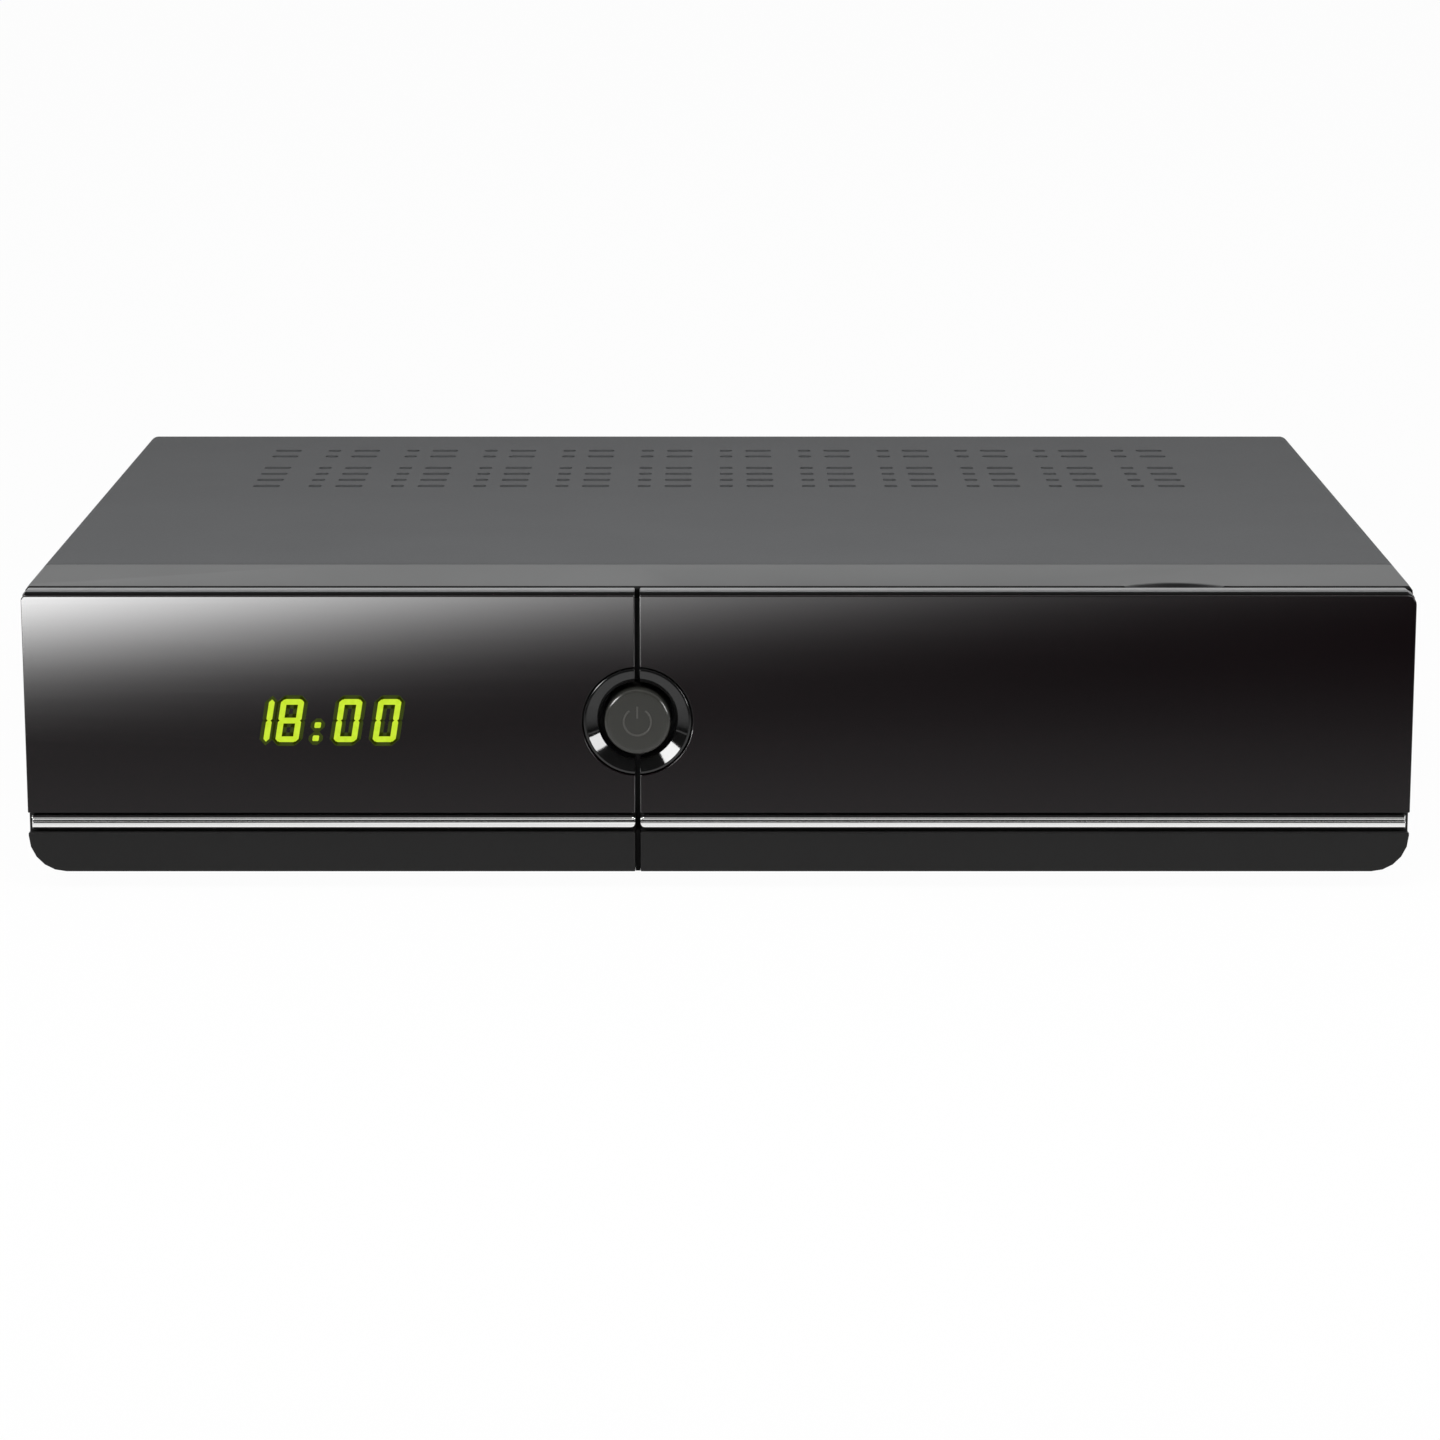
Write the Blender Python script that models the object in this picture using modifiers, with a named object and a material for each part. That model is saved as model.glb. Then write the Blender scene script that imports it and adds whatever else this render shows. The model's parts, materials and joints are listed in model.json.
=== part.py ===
"""Satellite television receiver: a steel case with a plastic front, half of which is a flap door.

Metres, +Z up. The front faces -Y and the sockets are on the +Y side. Every piece is placed by
its distance behind the front face; one empty then moves the whole receiver so that the origin
lies under the middle of its box, on the surface that the feet stand on.
"""

import math

import bmesh
import bpy
from mathutils import Matrix

# Clearances shared by all pieces
gap = 0.0003
bite = 0.0002
overrun = 0.001
hole_slack = 0.0003
merge_distance = 0.000001
seam_merge_distance = 0.00001

# Case
body_width = 0.300
body_depth = 0.220
foot_height = 0.004
sheet = 0.0008
bend_radius = 0.0024
cover_lip = 0.009
pan_side_height = 0.012
pan_front_height = 0.005
ledge_depth = 0.0231
ledge_rise = 0.0013

# Vent slots in the cover
vent_columns = 12
vent_rows = (0, 1, 3, 4, 5, 6)
vent_pitch_x = 0.02017
vent_pitch_y = 0.00955
vent_rear_inset = 0.0251
vent_slot_width = 0.0034
vent_wide_slot = 0.0066
vent_narrow_slot = 0.0032
vent_narrow_offset = 0.0119

# Cooling slots in the pan
pan_slot_columns = 9
pan_slot_length = 0.020
pan_slot_width = 0.003
pan_slot_spread_share = 0.60
pan_slot_row_shares = (0.43, 0.60)

# Feet
foot_radius = 0.009
foot_taper = 0.0012
foot_inset_x = 0.025
foot_inset_front = 0.045
foot_inset_rear = 0.025

# Fascia and door, one above the other: band, strip, lens, lip
seam_x = -0.0176
seam_width = 0.0011
lens_thickness = 0.002
frame_thickness = 0.0027
band_height = 0.0087
band_gap = 0.0006
strip_height = 0.0031
strip_setback = 0.0006
strip_inset = 0.0008
strip_groove = 0.0005
strip_groove_share = 0.66
groove_height = 0.0007
lens_height = 0.0479
lip_height = 0.0005
lower_corner_radius = 0.008
left_top_radius = 0.001
right_top_radius = 0.002
post_radius = 0.002
post_height_shares = (0.25, 0.78)
post_x_shares = (0.12, 0.86)

# Bezel
bezel_seam = 0.0006
bezel_skin = 0.002
door_recess = 0.0038
wall_thickness = 0.0015
pocket_radius = 0.0194
pocket_inset = 0.0514
pocket_reach = 0.0058
pocket_depth = 0.005
pocket_wall = 0.002

# Door hinge and catch
hinge_from_front = 0.0034
hinge_above_edge = 0.0036
ear_radius = 0.0019
ear_width = 0.004
ear_inset = 0.015
arm_share = 0.85
pin_radius = 0.0008
pin_grip = 0.003
magnet_radius = 0.003
magnet_length = 0.003
magnet_inset_x = 0.010
magnet_inset_z = 0.008

# Power button and its ring
button_z = 0.0374
button_radius = 0.00715
button_proud = 0.001
button_edge = 0.0006
button_guide_gap = 0.00035
ring_outer_radius = 0.01165
ring_inner_radius = 0.0085
ring_proud = 0.0001
ring_rim = 0.0004
ring_funnel_depth = 0.0016
flange_width = 0.0012
flange_thickness = 0.0008
button_travel = 0.0008

# Keys behind the door
key_names = ("key_menu", "key_ok", "key_volume_down", "key_volume_up", "key_channel_down", "key_channel_up")
key_first_x = 0.005
key_pitch = 0.012
key_z = 0.0435
key_width = 0.0075
key_height = 0.005
key_proud = 0.0012
key_edge = 0.0005
key_guide_gap = 0.0003

# Switches under the button and the keys
switch_size = 0.006
switch_body = 0.0025
plunger_radius = 0.00175
plunger_length = 0.0008
plunger_slack = 0.0003

# Boards
board_thickness = 0.0016
pillar_radius = 0.0032
pillar_height = 0.0057
screw_shank_radius = 0.0013
screw_head_radius = 0.0027
screw_head_height = 0.0014
screw_grip = 0.004
front_board_inset = 0.010
front_board_past_keys = 0.011
front_board_bottom = 0.024
front_board_top = 0.060
front_screw_inset = 0.005
boss_radius = 0.0026
board_inset = 0.006
board_spacing = 0.010
main_board_front = 0.022
main_board_rear_gap = 0.004
main_screw_inset = 0.006
main_screw_front_inset = 0.014
psu_width_share = 0.24
psu_length = 0.1081
psu_rear_gap = 0.005
psu_screw_inset = 0.005
insulator_thickness = 0.0004
insulator_margin = 0.002
insulator_hole_gap = 0.0004

# Display
display_width = 0.0402
display_height = 0.014
display_depth = 0.007
display_setback = 0.0005
display_window_gap = 0.0006
spacer_wall = 0.0012
spacer_margin = 0.001
ir_past_display = 0.0357
ir_z = 0.034
ir_width = 0.0064
ir_height = 0.0074
ir_lens_radius = 0.0022
ir_hole_radius = 0.0030

# Front sockets behind the door
usb_from_card = 0.054
usb_width = 0.0145
usb_height = 0.0071
usb_length = 0.014
usb_shell = 0.0007
usb_tongue = 0.0020
usb_mouth_depth = 0.009
usb_proud_share = 0.5
card_inset = 0.038
card_width = 0.060
card_height = 0.0105
card_length = 0.046
card_slot_width = 0.0555
card_slot_height = 0.0020
card_slot_share = 0.55
card_slot_depth = 0.042
card_mouth_gap = 0.0003

# Ribbon from the front board to the main board
ribbon_x = 0.038
ribbon_width = 0.018
ribbon_thickness = 0.0009
ribbon_plug_depth = 0.005
ribbon_plug_height = 0.006
ribbon_plug_margin = 0.001
ribbon_top_z = 0.035
ribbon_end_y = 0.048
ribbon_steps = 8

# Main board parts
chip_x_share = 0.447
chip_y_share = 0.486
chip_size = 0.023
chip_height = 0.002
sink_size = 0.038
sink_base = 0.003
sink_height = 0.014
sink_fins = 8
sink_fin_share = 0.42
memory_x_share = 0.631
memory_y_share = 0.428
memory_pitch = 0.018
memory_width = 0.0085
memory_length = 0.0125
memory_height = 0.0012
cap_radius = 0.004
cap_height = 0.011
cap_edge = 0.0004
cap_x_share = 0.12
cap_row_shares = (0.251, 0.827)
cap_count = 6

# Tuner and its two threaded sockets
tuner_inset = 0.003
tuner_width = 0.046
tuner_height = 0.023
tuner_length = 0.036
tuner_setback = 0.006
f_pitch = 0.022
f_axis_height = 0.0115
f_radius = 0.00475
f_flange_radius = 0.006
f_core_radius = 0.0030
f_tip_edge = 0.0006
f_length = 0.0115
f_bore_radius = 0.0006
f_bore_depth = 0.006

# Rear sockets on the main board
socket_shell = 0.0007
rear_proud = 0.0006
hdmi_width = 0.0152
hdmi_height = 0.0060
hdmi_length = 0.013
hdmi_mouth_depth = 0.009
hdmi_tongue = 0.0012
ethernet_width = 0.0160
ethernet_height = 0.0135
ethernet_length = 0.0200
ethernet_mouth_width = 0.0117
ethernet_mouth_height = 0.0082
ethernet_mouth_depth = 0.0130
ethernet_mouth_lift = 0.0025
scart_width = 0.0480
scart_height = 0.0150
scart_length = 0.0170
scart_wall = 0.0015
scart_mouth_depth = 0.0110
scart_tongue_width = 0.0395
scart_tongue_height = 0.0055
scart_slant = 0.0035
jack_spacing = 0.0015
jack_width = 0.0105
jack_height = 0.0125
jack_length = 0.0130
jack_axis_height = 0.0070
jack_radius = 0.00415
jack_proud = 0.0085
jack_bore_radius = 0.0016
jack_bore_depth = 0.0080
jack_names = ("video_jack", "audio_jack_left", "audio_jack_right")

# Power supply parts
transformer_share = 0.444
transformer_back = 0.053
transformer_width = 0.028
transformer_length = 0.024
transformer_height = 0.027
core_share = 0.45
core_proud = 0.002
bulk_share = 0.82
bulk_back = 0.020
bulk_radius = 0.009
bulk_height = 0.030
choke_share = 0.69
choke_back = 0.085
choke_width = 0.016
choke_length = 0.014
choke_height = 0.016
choke_core = 0.004
fuse_share = 0.91
fuse_back = 0.081
fuse_radius = 0.0026
fuse_length = 0.020
fuse_cap_length = 0.005
fuse_cap_wall = 0.0005
fuse_lift = 0.0035
inlet_inset = 0.028
inlet_z = 0.027
inlet_width = 0.0240
inlet_height = 0.0150
inlet_length = 0.0190
inlet_flange = 0.0015
inlet_mouth_width = 0.0160
inlet_mouth_height = 0.0076
inlet_mouth_depth = 0.0115
inlet_pin_pitch = 0.0086
inlet_pin_radius = 0.00115
switch_inset = 0.062
switch_z = 0.040
rocker_radius = 0.0082
rocker_width = 0.0106
rocker_wall = 0.0012
rocker_gap = 0.0003
rocker_proud = 0.0018
rocker_dip = 0.0008
rocker_body = 0.0043
rocker_tilt = math.radians(11)
switch_flange = 0.0018
switch_flange_margin = 0.0012
switch_depth = 0.0125
harness_wires = 4
harness_pitch = 0.0025
wire_radius = 0.0008
harness_back = 0.040
harness_from_edge = 0.004
harness_onto_board = 0.010
harness_rise = 0.010
harness_plug_length = 0.006
harness_plug_height = 0.007
harness_plug_margin = 0.0012
harness_steps = 10

# Cover and panel screws
side_screw_front = 0.060
side_screw_rear_inset = 0.030
side_screw_height = 0.008
rear_screw_spread_share = 0.733
rear_screw_drop = 0.0055

# Colours from the photograph and from the usual finish of such parts
steel_paint = ((0.100, 0.103, 0.106), 0.55, 0.0)
bare_steel = ((0.55, 0.56, 0.57), 0.38, 1.0)
smooth_plastic = ((0.145, 0.147, 0.148), 0.45, 0.0)
band_plastic = ((0.024, 0.024, 0.024), 0.40, 0.0)
gloss_panel = ((0.012, 0.010, 0.011), 0.12, 0.0)
bright_strip = ((0.86, 0.86, 0.87), 0.12, 1.0)
gloss_black = ((0.010, 0.010, 0.010), 0.08, 0.0)
cap_plastic = ((0.045, 0.045, 0.038), 0.40, 0.0)
rubber = ((0.03, 0.03, 0.03), 0.85, 0.0)
green_board = ((0.02, 0.14, 0.06), 0.45, 0.0)
black_plastic = ((0.02, 0.02, 0.02), 0.45, 0.0)
grey_plastic = ((0.45, 0.45, 0.44), 0.45, 0.0)
tin = ((0.72, 0.72, 0.70), 0.30, 1.0)
aluminium = ((0.60, 0.61, 0.62), 0.40, 1.0)
yellow_tape = ((0.78, 0.55, 0.06), 0.45, 0.0)
jack_colours = ((0.85, 0.62, 0.03), (0.82, 0.82, 0.80), (0.62, 0.03, 0.02))
jack_roughness = 0.40
glass = ((0.75, 0.80, 0.80), 0.05, 0.0)

for old in list(bpy.data.objects):
    bpy.data.objects.remove(old)

scene = bpy.context.scene
parts = bpy.data.collections.new("satellite_receiver")
tools = bpy.data.collections.new("cutters")
scene.collection.children.link(parts)
scene.collection.children.link(tools)


def material(name, finish):
    """One plain material for a part: colour, roughness and metallic value."""
    colour, roughness, metallic = finish
    mat = bpy.data.materials.new(name)
    mat.use_nodes = True
    shader = mat.node_tree.nodes["Principled BSDF"]
    shader.inputs["Base Color"].default_value = (*colour, 1)
    shader.inputs["Roughness"].default_value = roughness
    shader.inputs["Metallic"].default_value = metallic
    return mat


def box(x, y, z):
    """A block between two values on each axis."""
    return "box", x, y, z


def rod(axis, centre, radius, span, tip_radius=None, sides=24):
    """A cylinder or cone along an axis; centre holds the other two coordinates in X, Y, Z order."""
    return "rod", axis, centre, radius, radius if tip_radius is None else tip_radius, span, sides


def outline(axis, points, span):
    """A flat outline extruded along an axis; its points are (x, z) for Y, (y, z) for X, (x, y) for Z."""
    return "outline", axis, points, span


def around(middle, width):
    """The two ends of a width that is centred on a place."""
    return middle - width / 2, middle + width / 2


def box_mesh(mesh, shape):
    _, x, y, z = shape
    low, high = zip(x, y, z)
    size = [b - a for a, b in zip(low, high)]
    middle = [(a + b) / 2 for a, b in zip(low, high)]
    bm = bmesh.new()
    bmesh.ops.create_cube(bm, size=1, matrix=Matrix.Translation(middle) @ Matrix.Diagonal((*size, 1)))
    bm.to_mesh(mesh)
    bm.free()


def rod_mesh(mesh, shape):
    _, axis, centre, radius, tip_radius, span, sides = shape
    middle = list(centre)
    middle.insert("XYZ".index(axis), (span[0] + span[1]) / 2)
    turn = {
        "X": Matrix.Rotation(math.pi / 2, 4, "Y"),
        "Y": Matrix.Rotation(-math.pi / 2, 4, "X"),
        "Z": Matrix.Identity(4),
    }[axis]
    bm = bmesh.new()
    bmesh.ops.create_cone(
        bm,
        cap_ends=True,
        segments=sides,
        radius1=radius,
        radius2=tip_radius,
        depth=span[1] - span[0],
        matrix=Matrix.Translation(middle) @ turn,
    )
    bm.to_mesh(mesh)
    bm.free()
    mesh.shade_smooth()
    mesh.set_sharp_from_angle(angle=math.radians(35))


def outline_mesh(mesh, shape):
    _, axis, points, span = shape
    curve = bpy.data.curves.new("outline", "CURVE")
    curve.dimensions = "2D"
    curve.fill_mode = "BOTH"
    curve.extrude = (span[1] - span[0]) / 2
    spline = curve.splines.new("POLY")
    spline.points.add(len(points) - 1)
    for spot, (u, v) in zip(spline.points, points):
        spot.co = (u, v, 0, 1)
    spline.use_cyclic_u = True
    holder = bpy.data.objects.new("outline", curve)
    scene.collection.objects.link(holder)
    graph = bpy.context.evaluated_depsgraph_get()
    filled = bpy.data.meshes.new_from_object(holder.evaluated_get(graph))
    bpy.data.objects.remove(holder)
    middle = (span[0] + span[1]) / 2
    place = {
        "X": Matrix(((0, 0, 1, middle), (1, 0, 0, 0), (0, 1, 0, 0), (0, 0, 0, 1))),
        "Y": Matrix(((1, 0, 0, 0), (0, 0, -1, middle), (0, 1, 0, 0), (0, 0, 0, 1))),
        "Z": Matrix.Translation((0, 0, middle)),
    }[axis]
    bm = bmesh.new()
    bm.from_mesh(filled)
    bmesh.ops.remove_doubles(bm, verts=bm.verts, dist=merge_distance)
    bmesh.ops.dissolve_limit(bm, angle_limit=math.radians(0.1), verts=bm.verts, edges=bm.edges)
    bmesh.ops.transform(bm, matrix=place, verts=bm.verts)
    bmesh.ops.recalc_face_normals(bm, faces=bm.faces)
    bm.to_mesh(mesh)
    bm.free()
    bpy.data.meshes.remove(filled)


def shape_object(name, shapes, collection):
    """One object that holds the given shapes side by side."""
    whole = bmesh.new()
    for shape in shapes:
        mesh = bpy.data.meshes.new(name)
        {"box": box_mesh, "rod": rod_mesh, "outline": outline_mesh}[shape[0]](mesh, shape)
        whole.from_mesh(mesh)
        bpy.data.meshes.remove(mesh)
    mesh = bpy.data.meshes.new(name)
    whole.to_mesh(mesh)
    whole.free()
    obj = bpy.data.objects.new(name, mesh)
    collection.objects.link(obj)
    return obj


def part(name, finish, *shapes):
    """A named part: its first shape, with the material that it carries."""
    obj = shape_object(name, shapes, parts)
    obj.data.materials.append(material(name, finish))
    return obj


def with_tool(obj, operation, shapes):
    tool = shape_object(f"{obj.name}_{operation.lower()}_{len(obj.modifiers)}", shapes, tools)
    tool.hide_render = True
    tool.display_type = "WIRE"
    change = obj.modifiers.new(tool.name, "BOOLEAN")
    change.operation = operation
    change.solver = "EXACT"
    change.object = tool
    return tool


def join(obj, *shapes):
    """Unite shapes that stand apart from each other with a part that they all bite into."""
    return with_tool(obj, "UNION", shapes)


def cut(obj, *shapes):
    """Cut shapes that stand apart from each other out of a part."""
    return with_tool(obj, "DIFFERENCE", shapes)


def round_edges(obj, width, steps=2):
    """Bevel the sharp edges of a part, before any cut is added to it."""
    bevel = obj.modifiers.new("edges", "BEVEL")
    bevel.width = width
    bevel.segments = steps
    bevel.limit_method = "ANGLE"
    bevel.angle_limit = math.radians(40)


def rounded(x, z, radii, steps=5):
    """A rounded rectangle's outline; radii run bottom left, bottom right, top right, top left."""
    corners = ((0, 0, 2), (1, 0, 3), (1, 1, 0), (0, 1, 1))
    points = []
    for (right, top, quarter), radius in zip(corners, radii):
        if radius == 0:
            points.append((x[right], z[top]))
            continue
        middle_x = x[right] + (-radius if right else radius)
        middle_z = z[top] + (-radius if top else radius)
        for step in range(steps + 1):
            angle = (quarter + step / steps) * math.pi / 2
            points.append((middle_x + radius * math.cos(angle), middle_z + radius * math.sin(angle)))
    return points


def turned(name, finish, profile, sides=24):
    """A piece turned about Y through the origin; its profile of (radius, y) runs down the outer side."""
    mesh = bpy.data.meshes.new(name)
    closed = profile[0][0] > 0
    edges = [(i, i + 1) for i in range(len(profile) - 1)]
    if closed:
        edges.append((len(profile) - 1, 0))
    mesh.from_pydata([(radius, 0, -y) for radius, y in profile], edges, [])
    obj = bpy.data.objects.new(name, mesh)
    parts.objects.link(obj)
    obj.data.materials.append(material(name, finish))
    screw = obj.modifiers.new("turn", "SCREW")
    screw.steps = sides
    screw.render_steps = sides
    screw.use_merge_vertices = True
    screw.merge_threshold = seam_merge_distance
    obj.rotation_euler.x = math.pi / 2
    return obj


def bent_sheet(name, finish, profile, y, thickness):
    """Sheet folded along Y: an open profile of (x, z) drawn out in depth and thickened inwards."""
    mesh = bpy.data.meshes.new(name)
    bm = bmesh.new()
    near = [bm.verts.new((px, y[0], pz)) for px, pz in profile]
    strip = [bm.edges.new(pair) for pair in zip(near, near[1:])]
    drawn = bmesh.ops.extrude_edge_only(bm, edges=strip)["geom"]
    far = [item for item in drawn if isinstance(item, bmesh.types.BMVert)]
    bmesh.ops.translate(bm, verts=far, vec=(0, y[1] - y[0], 0))
    bm.to_mesh(mesh)
    bm.free()
    obj = bpy.data.objects.new(name, mesh)
    parts.objects.link(obj)
    obj.data.materials.append(material(name, finish))
    wall = obj.modifiers.new("wall", "SOLIDIFY")
    wall.thickness = thickness
    wall.offset = -1
    wall.use_even_offset = True
    return obj


# Heights of the front, from the floor up
pan_bottom = foot_height
band_top = pan_bottom + band_height
strip_z = (band_top + band_gap, band_top + band_gap + strip_height)
lens_z = (strip_z[1] + groove_height, strip_z[1] + groove_height + lens_height)
front_top = lens_z[1] + lip_height
top = front_top + ledge_rise

# Distances behind the front face
frame_y = (lens_thickness + gap, lens_thickness + gap + frame_thickness)
wall_y = (frame_y[1] + door_recess, frame_y[1] + door_recess + wall_thickness)
bezel_y = (frame_y[1] + bezel_seam, frame_y[1] + bezel_seam + ledge_depth)
cover_front = bezel_y[1] + gap
panel_y = (body_depth - gap - 2 * sheet, body_depth - gap - sheet)
flange_y = (wall_y[1] + gap, wall_y[1] + gap + flange_thickness)
plunger_y = flange_y[1] + button_travel + plunger_slack
switch_y = (plunger_y + plunger_length, plunger_y + plunger_length + switch_body)
front_board_y = (switch_y[1] + gap, switch_y[1] + gap + board_thickness)

# Widths
half_width = body_width / 2
left_x = (-half_width, seam_x - seam_width / 2)
door_x = (seam_x + seam_width / 2, half_width)
pan_half = half_width - sheet - gap
pan_floor_top = pan_bottom + sheet
board_z = (
    pan_floor_top + pillar_height + gap,
    pan_floor_top + pillar_height + gap + board_thickness,
)
on_board = board_z[1] + gap

# Places across the width
display_x = (left_x[0] + left_x[1]) / 2
ir_x = display_x - ir_past_display
pocket_x = half_width - pocket_inset
front_board_left = front_board_inset - half_width
front_board_right = key_first_x + (len(key_names) - 1) * key_pitch + front_board_past_keys
card_x = half_width - card_inset
usb_x = card_x - usb_from_card
psu_left = board_inset - half_width
psu_width = body_width * psu_width_share
psu_right = psu_left + psu_width
main_board_left = psu_right + board_spacing
main_board_right = half_width - board_inset
main_width = main_board_right - main_board_left
tuner_x = main_board_right - tuner_inset - tuner_width / 2
jack_pitch = jack_width + jack_spacing
jacks_width = jack_pitch * (len(jack_names) - 1) + jack_width
sockets_width = tuner_width + hdmi_width + ethernet_width + scart_width + jacks_width
socket_spacing = (main_width - tuner_inset - sockets_width) / 5
hdmi_x = tuner_x - tuner_width / 2 - socket_spacing - hdmi_width / 2
ethernet_x = hdmi_x - hdmi_width / 2 - socket_spacing - ethernet_width / 2
scart_x = ethernet_x - ethernet_width / 2 - socket_spacing - scart_width / 2
jack_first_x = scart_x - scart_width / 2 - socket_spacing - jack_width / 2
chip_x = main_board_left + main_width * chip_x_share
memory_x = main_board_left + main_width * memory_x_share
cap_x = main_board_left + main_width * cap_x_share
transformer_x = psu_left + psu_width * transformer_share
bulk_x = psu_left + psu_width * bulk_share
choke_x = psu_left + psu_width * choke_share
fuse_x = psu_left + psu_width * fuse_share
inlet_x = inlet_inset - half_width
switch_x = switch_inset - half_width
harness_start_x = psu_right - harness_from_edge
harness_end_x = main_board_left + harness_onto_board
rear_screw_spread = half_width * rear_screw_spread_share

# Places along the depth
side_screw_y = (side_screw_front, body_depth - side_screw_rear_inset)
main_rear = panel_y[0] - main_board_rear_gap
main_depth = main_rear - main_board_front
chip_y = main_board_front + main_depth * chip_y_share
memory_y = main_board_front + main_depth * memory_y_share
psu_rear = panel_y[0] - psu_rear_gap
psu_front = psu_rear - psu_length
transformer_y = psu_front + transformer_back
bulk_y = psu_front + bulk_back
choke_y = psu_front + choke_back
fuse_y = psu_front + fuse_back
harness_y = psu_front + harness_back

# The door's hinge
hinge_y = hinge_from_front
hinge_z = pan_bottom + hinge_above_edge
ear_x = (door_x[0] + ear_inset, door_x[1] - ear_inset)


def make_cover():
    """The folded sheet: two sides, a top with vent slots and a lip over the rear panel."""
    side_bottom = pan_bottom
    profile = [(-half_width, side_bottom)]
    for right in (0, 1):
        for step in range(5):
            angle = (1 - right + 1 - step / 4) * math.pi / 2
            middle = half_width - bend_radius if right else bend_radius - half_width
            bend_x = middle + bend_radius * math.cos(angle)
            bend_z = top - bend_radius + bend_radius * math.sin(angle)
            profile.append((bend_x, bend_z))
    profile.append((half_width, side_bottom))
    profile.reverse()
    cover = bent_sheet("top_cover", steel_paint, profile, (cover_front, body_depth), sheet)
    lip_x = (bend_radius - half_width, half_width - bend_radius)
    join(cover, box(lip_x, (body_depth - sheet, body_depth), (top - cover_lip, top - sheet + bite)))
    slots = []
    slot_z = (top - sheet - overrun, top + overrun)
    for row in vent_rows:
        slot_y = around(body_depth - vent_rear_inset - row * vent_pitch_y, vent_slot_width)
        for column in range(vent_columns):
            middle = (column - (vent_columns - 1) / 2) * vent_pitch_x
            slots.append(box(around(middle, vent_wide_slot), slot_y, slot_z))
            if column < vent_columns - 1:
                slots.append(box(around(middle + vent_narrow_offset, vent_narrow_slot), slot_y, slot_z))
    cut(cover, *slots)
    holes = []
    hole_radius = screw_shank_radius + hole_slack
    for y in side_screw_y:
        for side in (-1, 1):
            span = sorted((side * (half_width + overrun), side * (half_width - sheet - overrun)))
            holes.append(rod("X", (y, pan_bottom + side_screw_height), hole_radius, span, sides=12))
    for x in (-rear_screw_spread, 0, rear_screw_spread):
        span = (body_depth - sheet - overrun, body_depth + overrun)
        holes.append(rod("Y", (x, top - rear_screw_drop), hole_radius, span, sides=12))
    cut(cover, *holes)
    return cover


def make_cover_screws():
    """The screws of the cover: a head outside, and a shank through the cover and what it covers."""
    side_seat = half_width + gap
    for end, y in zip(("front", "rear"), side_screw_y):
        for side, sign in (("left", -1), ("right", 1)):
            centre = (y, pan_bottom + side_screw_height)
            head = sorted((sign * side_seat, sign * (side_seat + screw_head_height)))
            shank = sorted((sign * (side_seat + bite), sign * (side_seat - screw_grip)))
            shape = rod("X", centre, screw_head_radius, head, sides=16)
            screw = part(f"side_screw_{side}_{end}", bare_steel, shape)
            join(screw, rod("X", centre, screw_shank_radius, shank, sides=10))
    seat = body_depth + gap
    for side, x in (("left", -rear_screw_spread), ("middle", 0), ("right", rear_screw_spread)):
        centre = (x, top - rear_screw_drop)
        head = (seat, seat + screw_head_height)
        screw = part(f"rear_screw_{side}", bare_steel, rod("Y", centre, screw_head_radius, head, sides=16))
        join(screw, rod("Y", centre, screw_shank_radius, (seat - screw_grip, seat + bite), sides=10))


def board_screw_places():
    """Where the main board and the power board are screwed down."""
    main_first = main_board_front + main_screw_front_inset
    main = [
        (x, y)
        for x in (main_board_left + main_screw_inset, main_board_right - main_screw_inset)
        for y in (main_first, (main_first + main_rear) / 2)
    ]
    psu = [
        (x, y)
        for x in (psu_left + psu_screw_inset, psu_right - psu_screw_inset)
        for y in (psu_front + psu_screw_inset, psu_rear - psu_screw_inset)
    ]
    return main, psu


def make_pan():
    """The tray: floor, two upturned sides, a low front wall, cooling slots and board pillars."""
    side_top = pan_bottom + pan_side_height
    profile = [(-pan_half, side_top), (-pan_half, pan_bottom), (pan_half, pan_bottom), (pan_half, side_top)]
    pan_y = (cover_front, panel_y[0] - gap)
    pan = bent_sheet("base_pan", bare_steel, profile, pan_y, sheet)
    inner = pan_half - sheet + bite
    front_wall_z = (pan_floor_top - bite, pan_bottom + pan_front_height)
    front_wall = box((-inner, inner), (pan_y[0], pan_y[0] + sheet), front_wall_z)
    main, psu = board_screw_places()
    pillar_z = (pan_floor_top - bite, pan_floor_top + pillar_height)
    pillars = [rod("Z", place, pillar_radius, pillar_z, sides=16) for place in main + psu]
    join(pan, front_wall, *pillars)
    holes = []
    bore = screw_shank_radius + hole_slack
    for place in main + psu:
        holes.append(rod("Z", place, bore, (pan_bottom - overrun, pillar_z[1] + overrun), sides=10))
    for y in side_screw_y:
        for side in (-1, 1):
            span = sorted((side * (pan_half + overrun), side * (pan_half - sheet - overrun)))
            holes.append(rod("X", (y, pan_bottom + side_screw_height), bore, span, sides=10))
    slot_pitch = main_width * pan_slot_spread_share / (pan_slot_columns - 1)
    slot_middle = (main_board_left + main_board_right) / 2
    for depth_share in pan_slot_row_shares:
        slot_y = around(body_depth * depth_share, pan_slot_length)
        for column in range(pan_slot_columns):
            middle = slot_middle + (column - (pan_slot_columns - 1) / 2) * slot_pitch
            slot_z = (pan_bottom - overrun, pan_floor_top + overrun)
            holes.append(box(around(middle, pan_slot_width), slot_y, slot_z))
    cut(pan, *holes)


def make_feet():
    """Four rubber feet under the pan, slightly narrower at the floor."""
    for end, y in (("front", foot_inset_front), ("rear", body_depth - foot_inset_rear)):
        for side, x in (("left", foot_inset_x - half_width), ("right", half_width - foot_inset_x)):
            foot = rod("Z", (x, y), foot_radius - foot_taper, (0, foot_height - gap), foot_radius)
            part(f"foot_{end}_{side}", rubber, foot)


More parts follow.
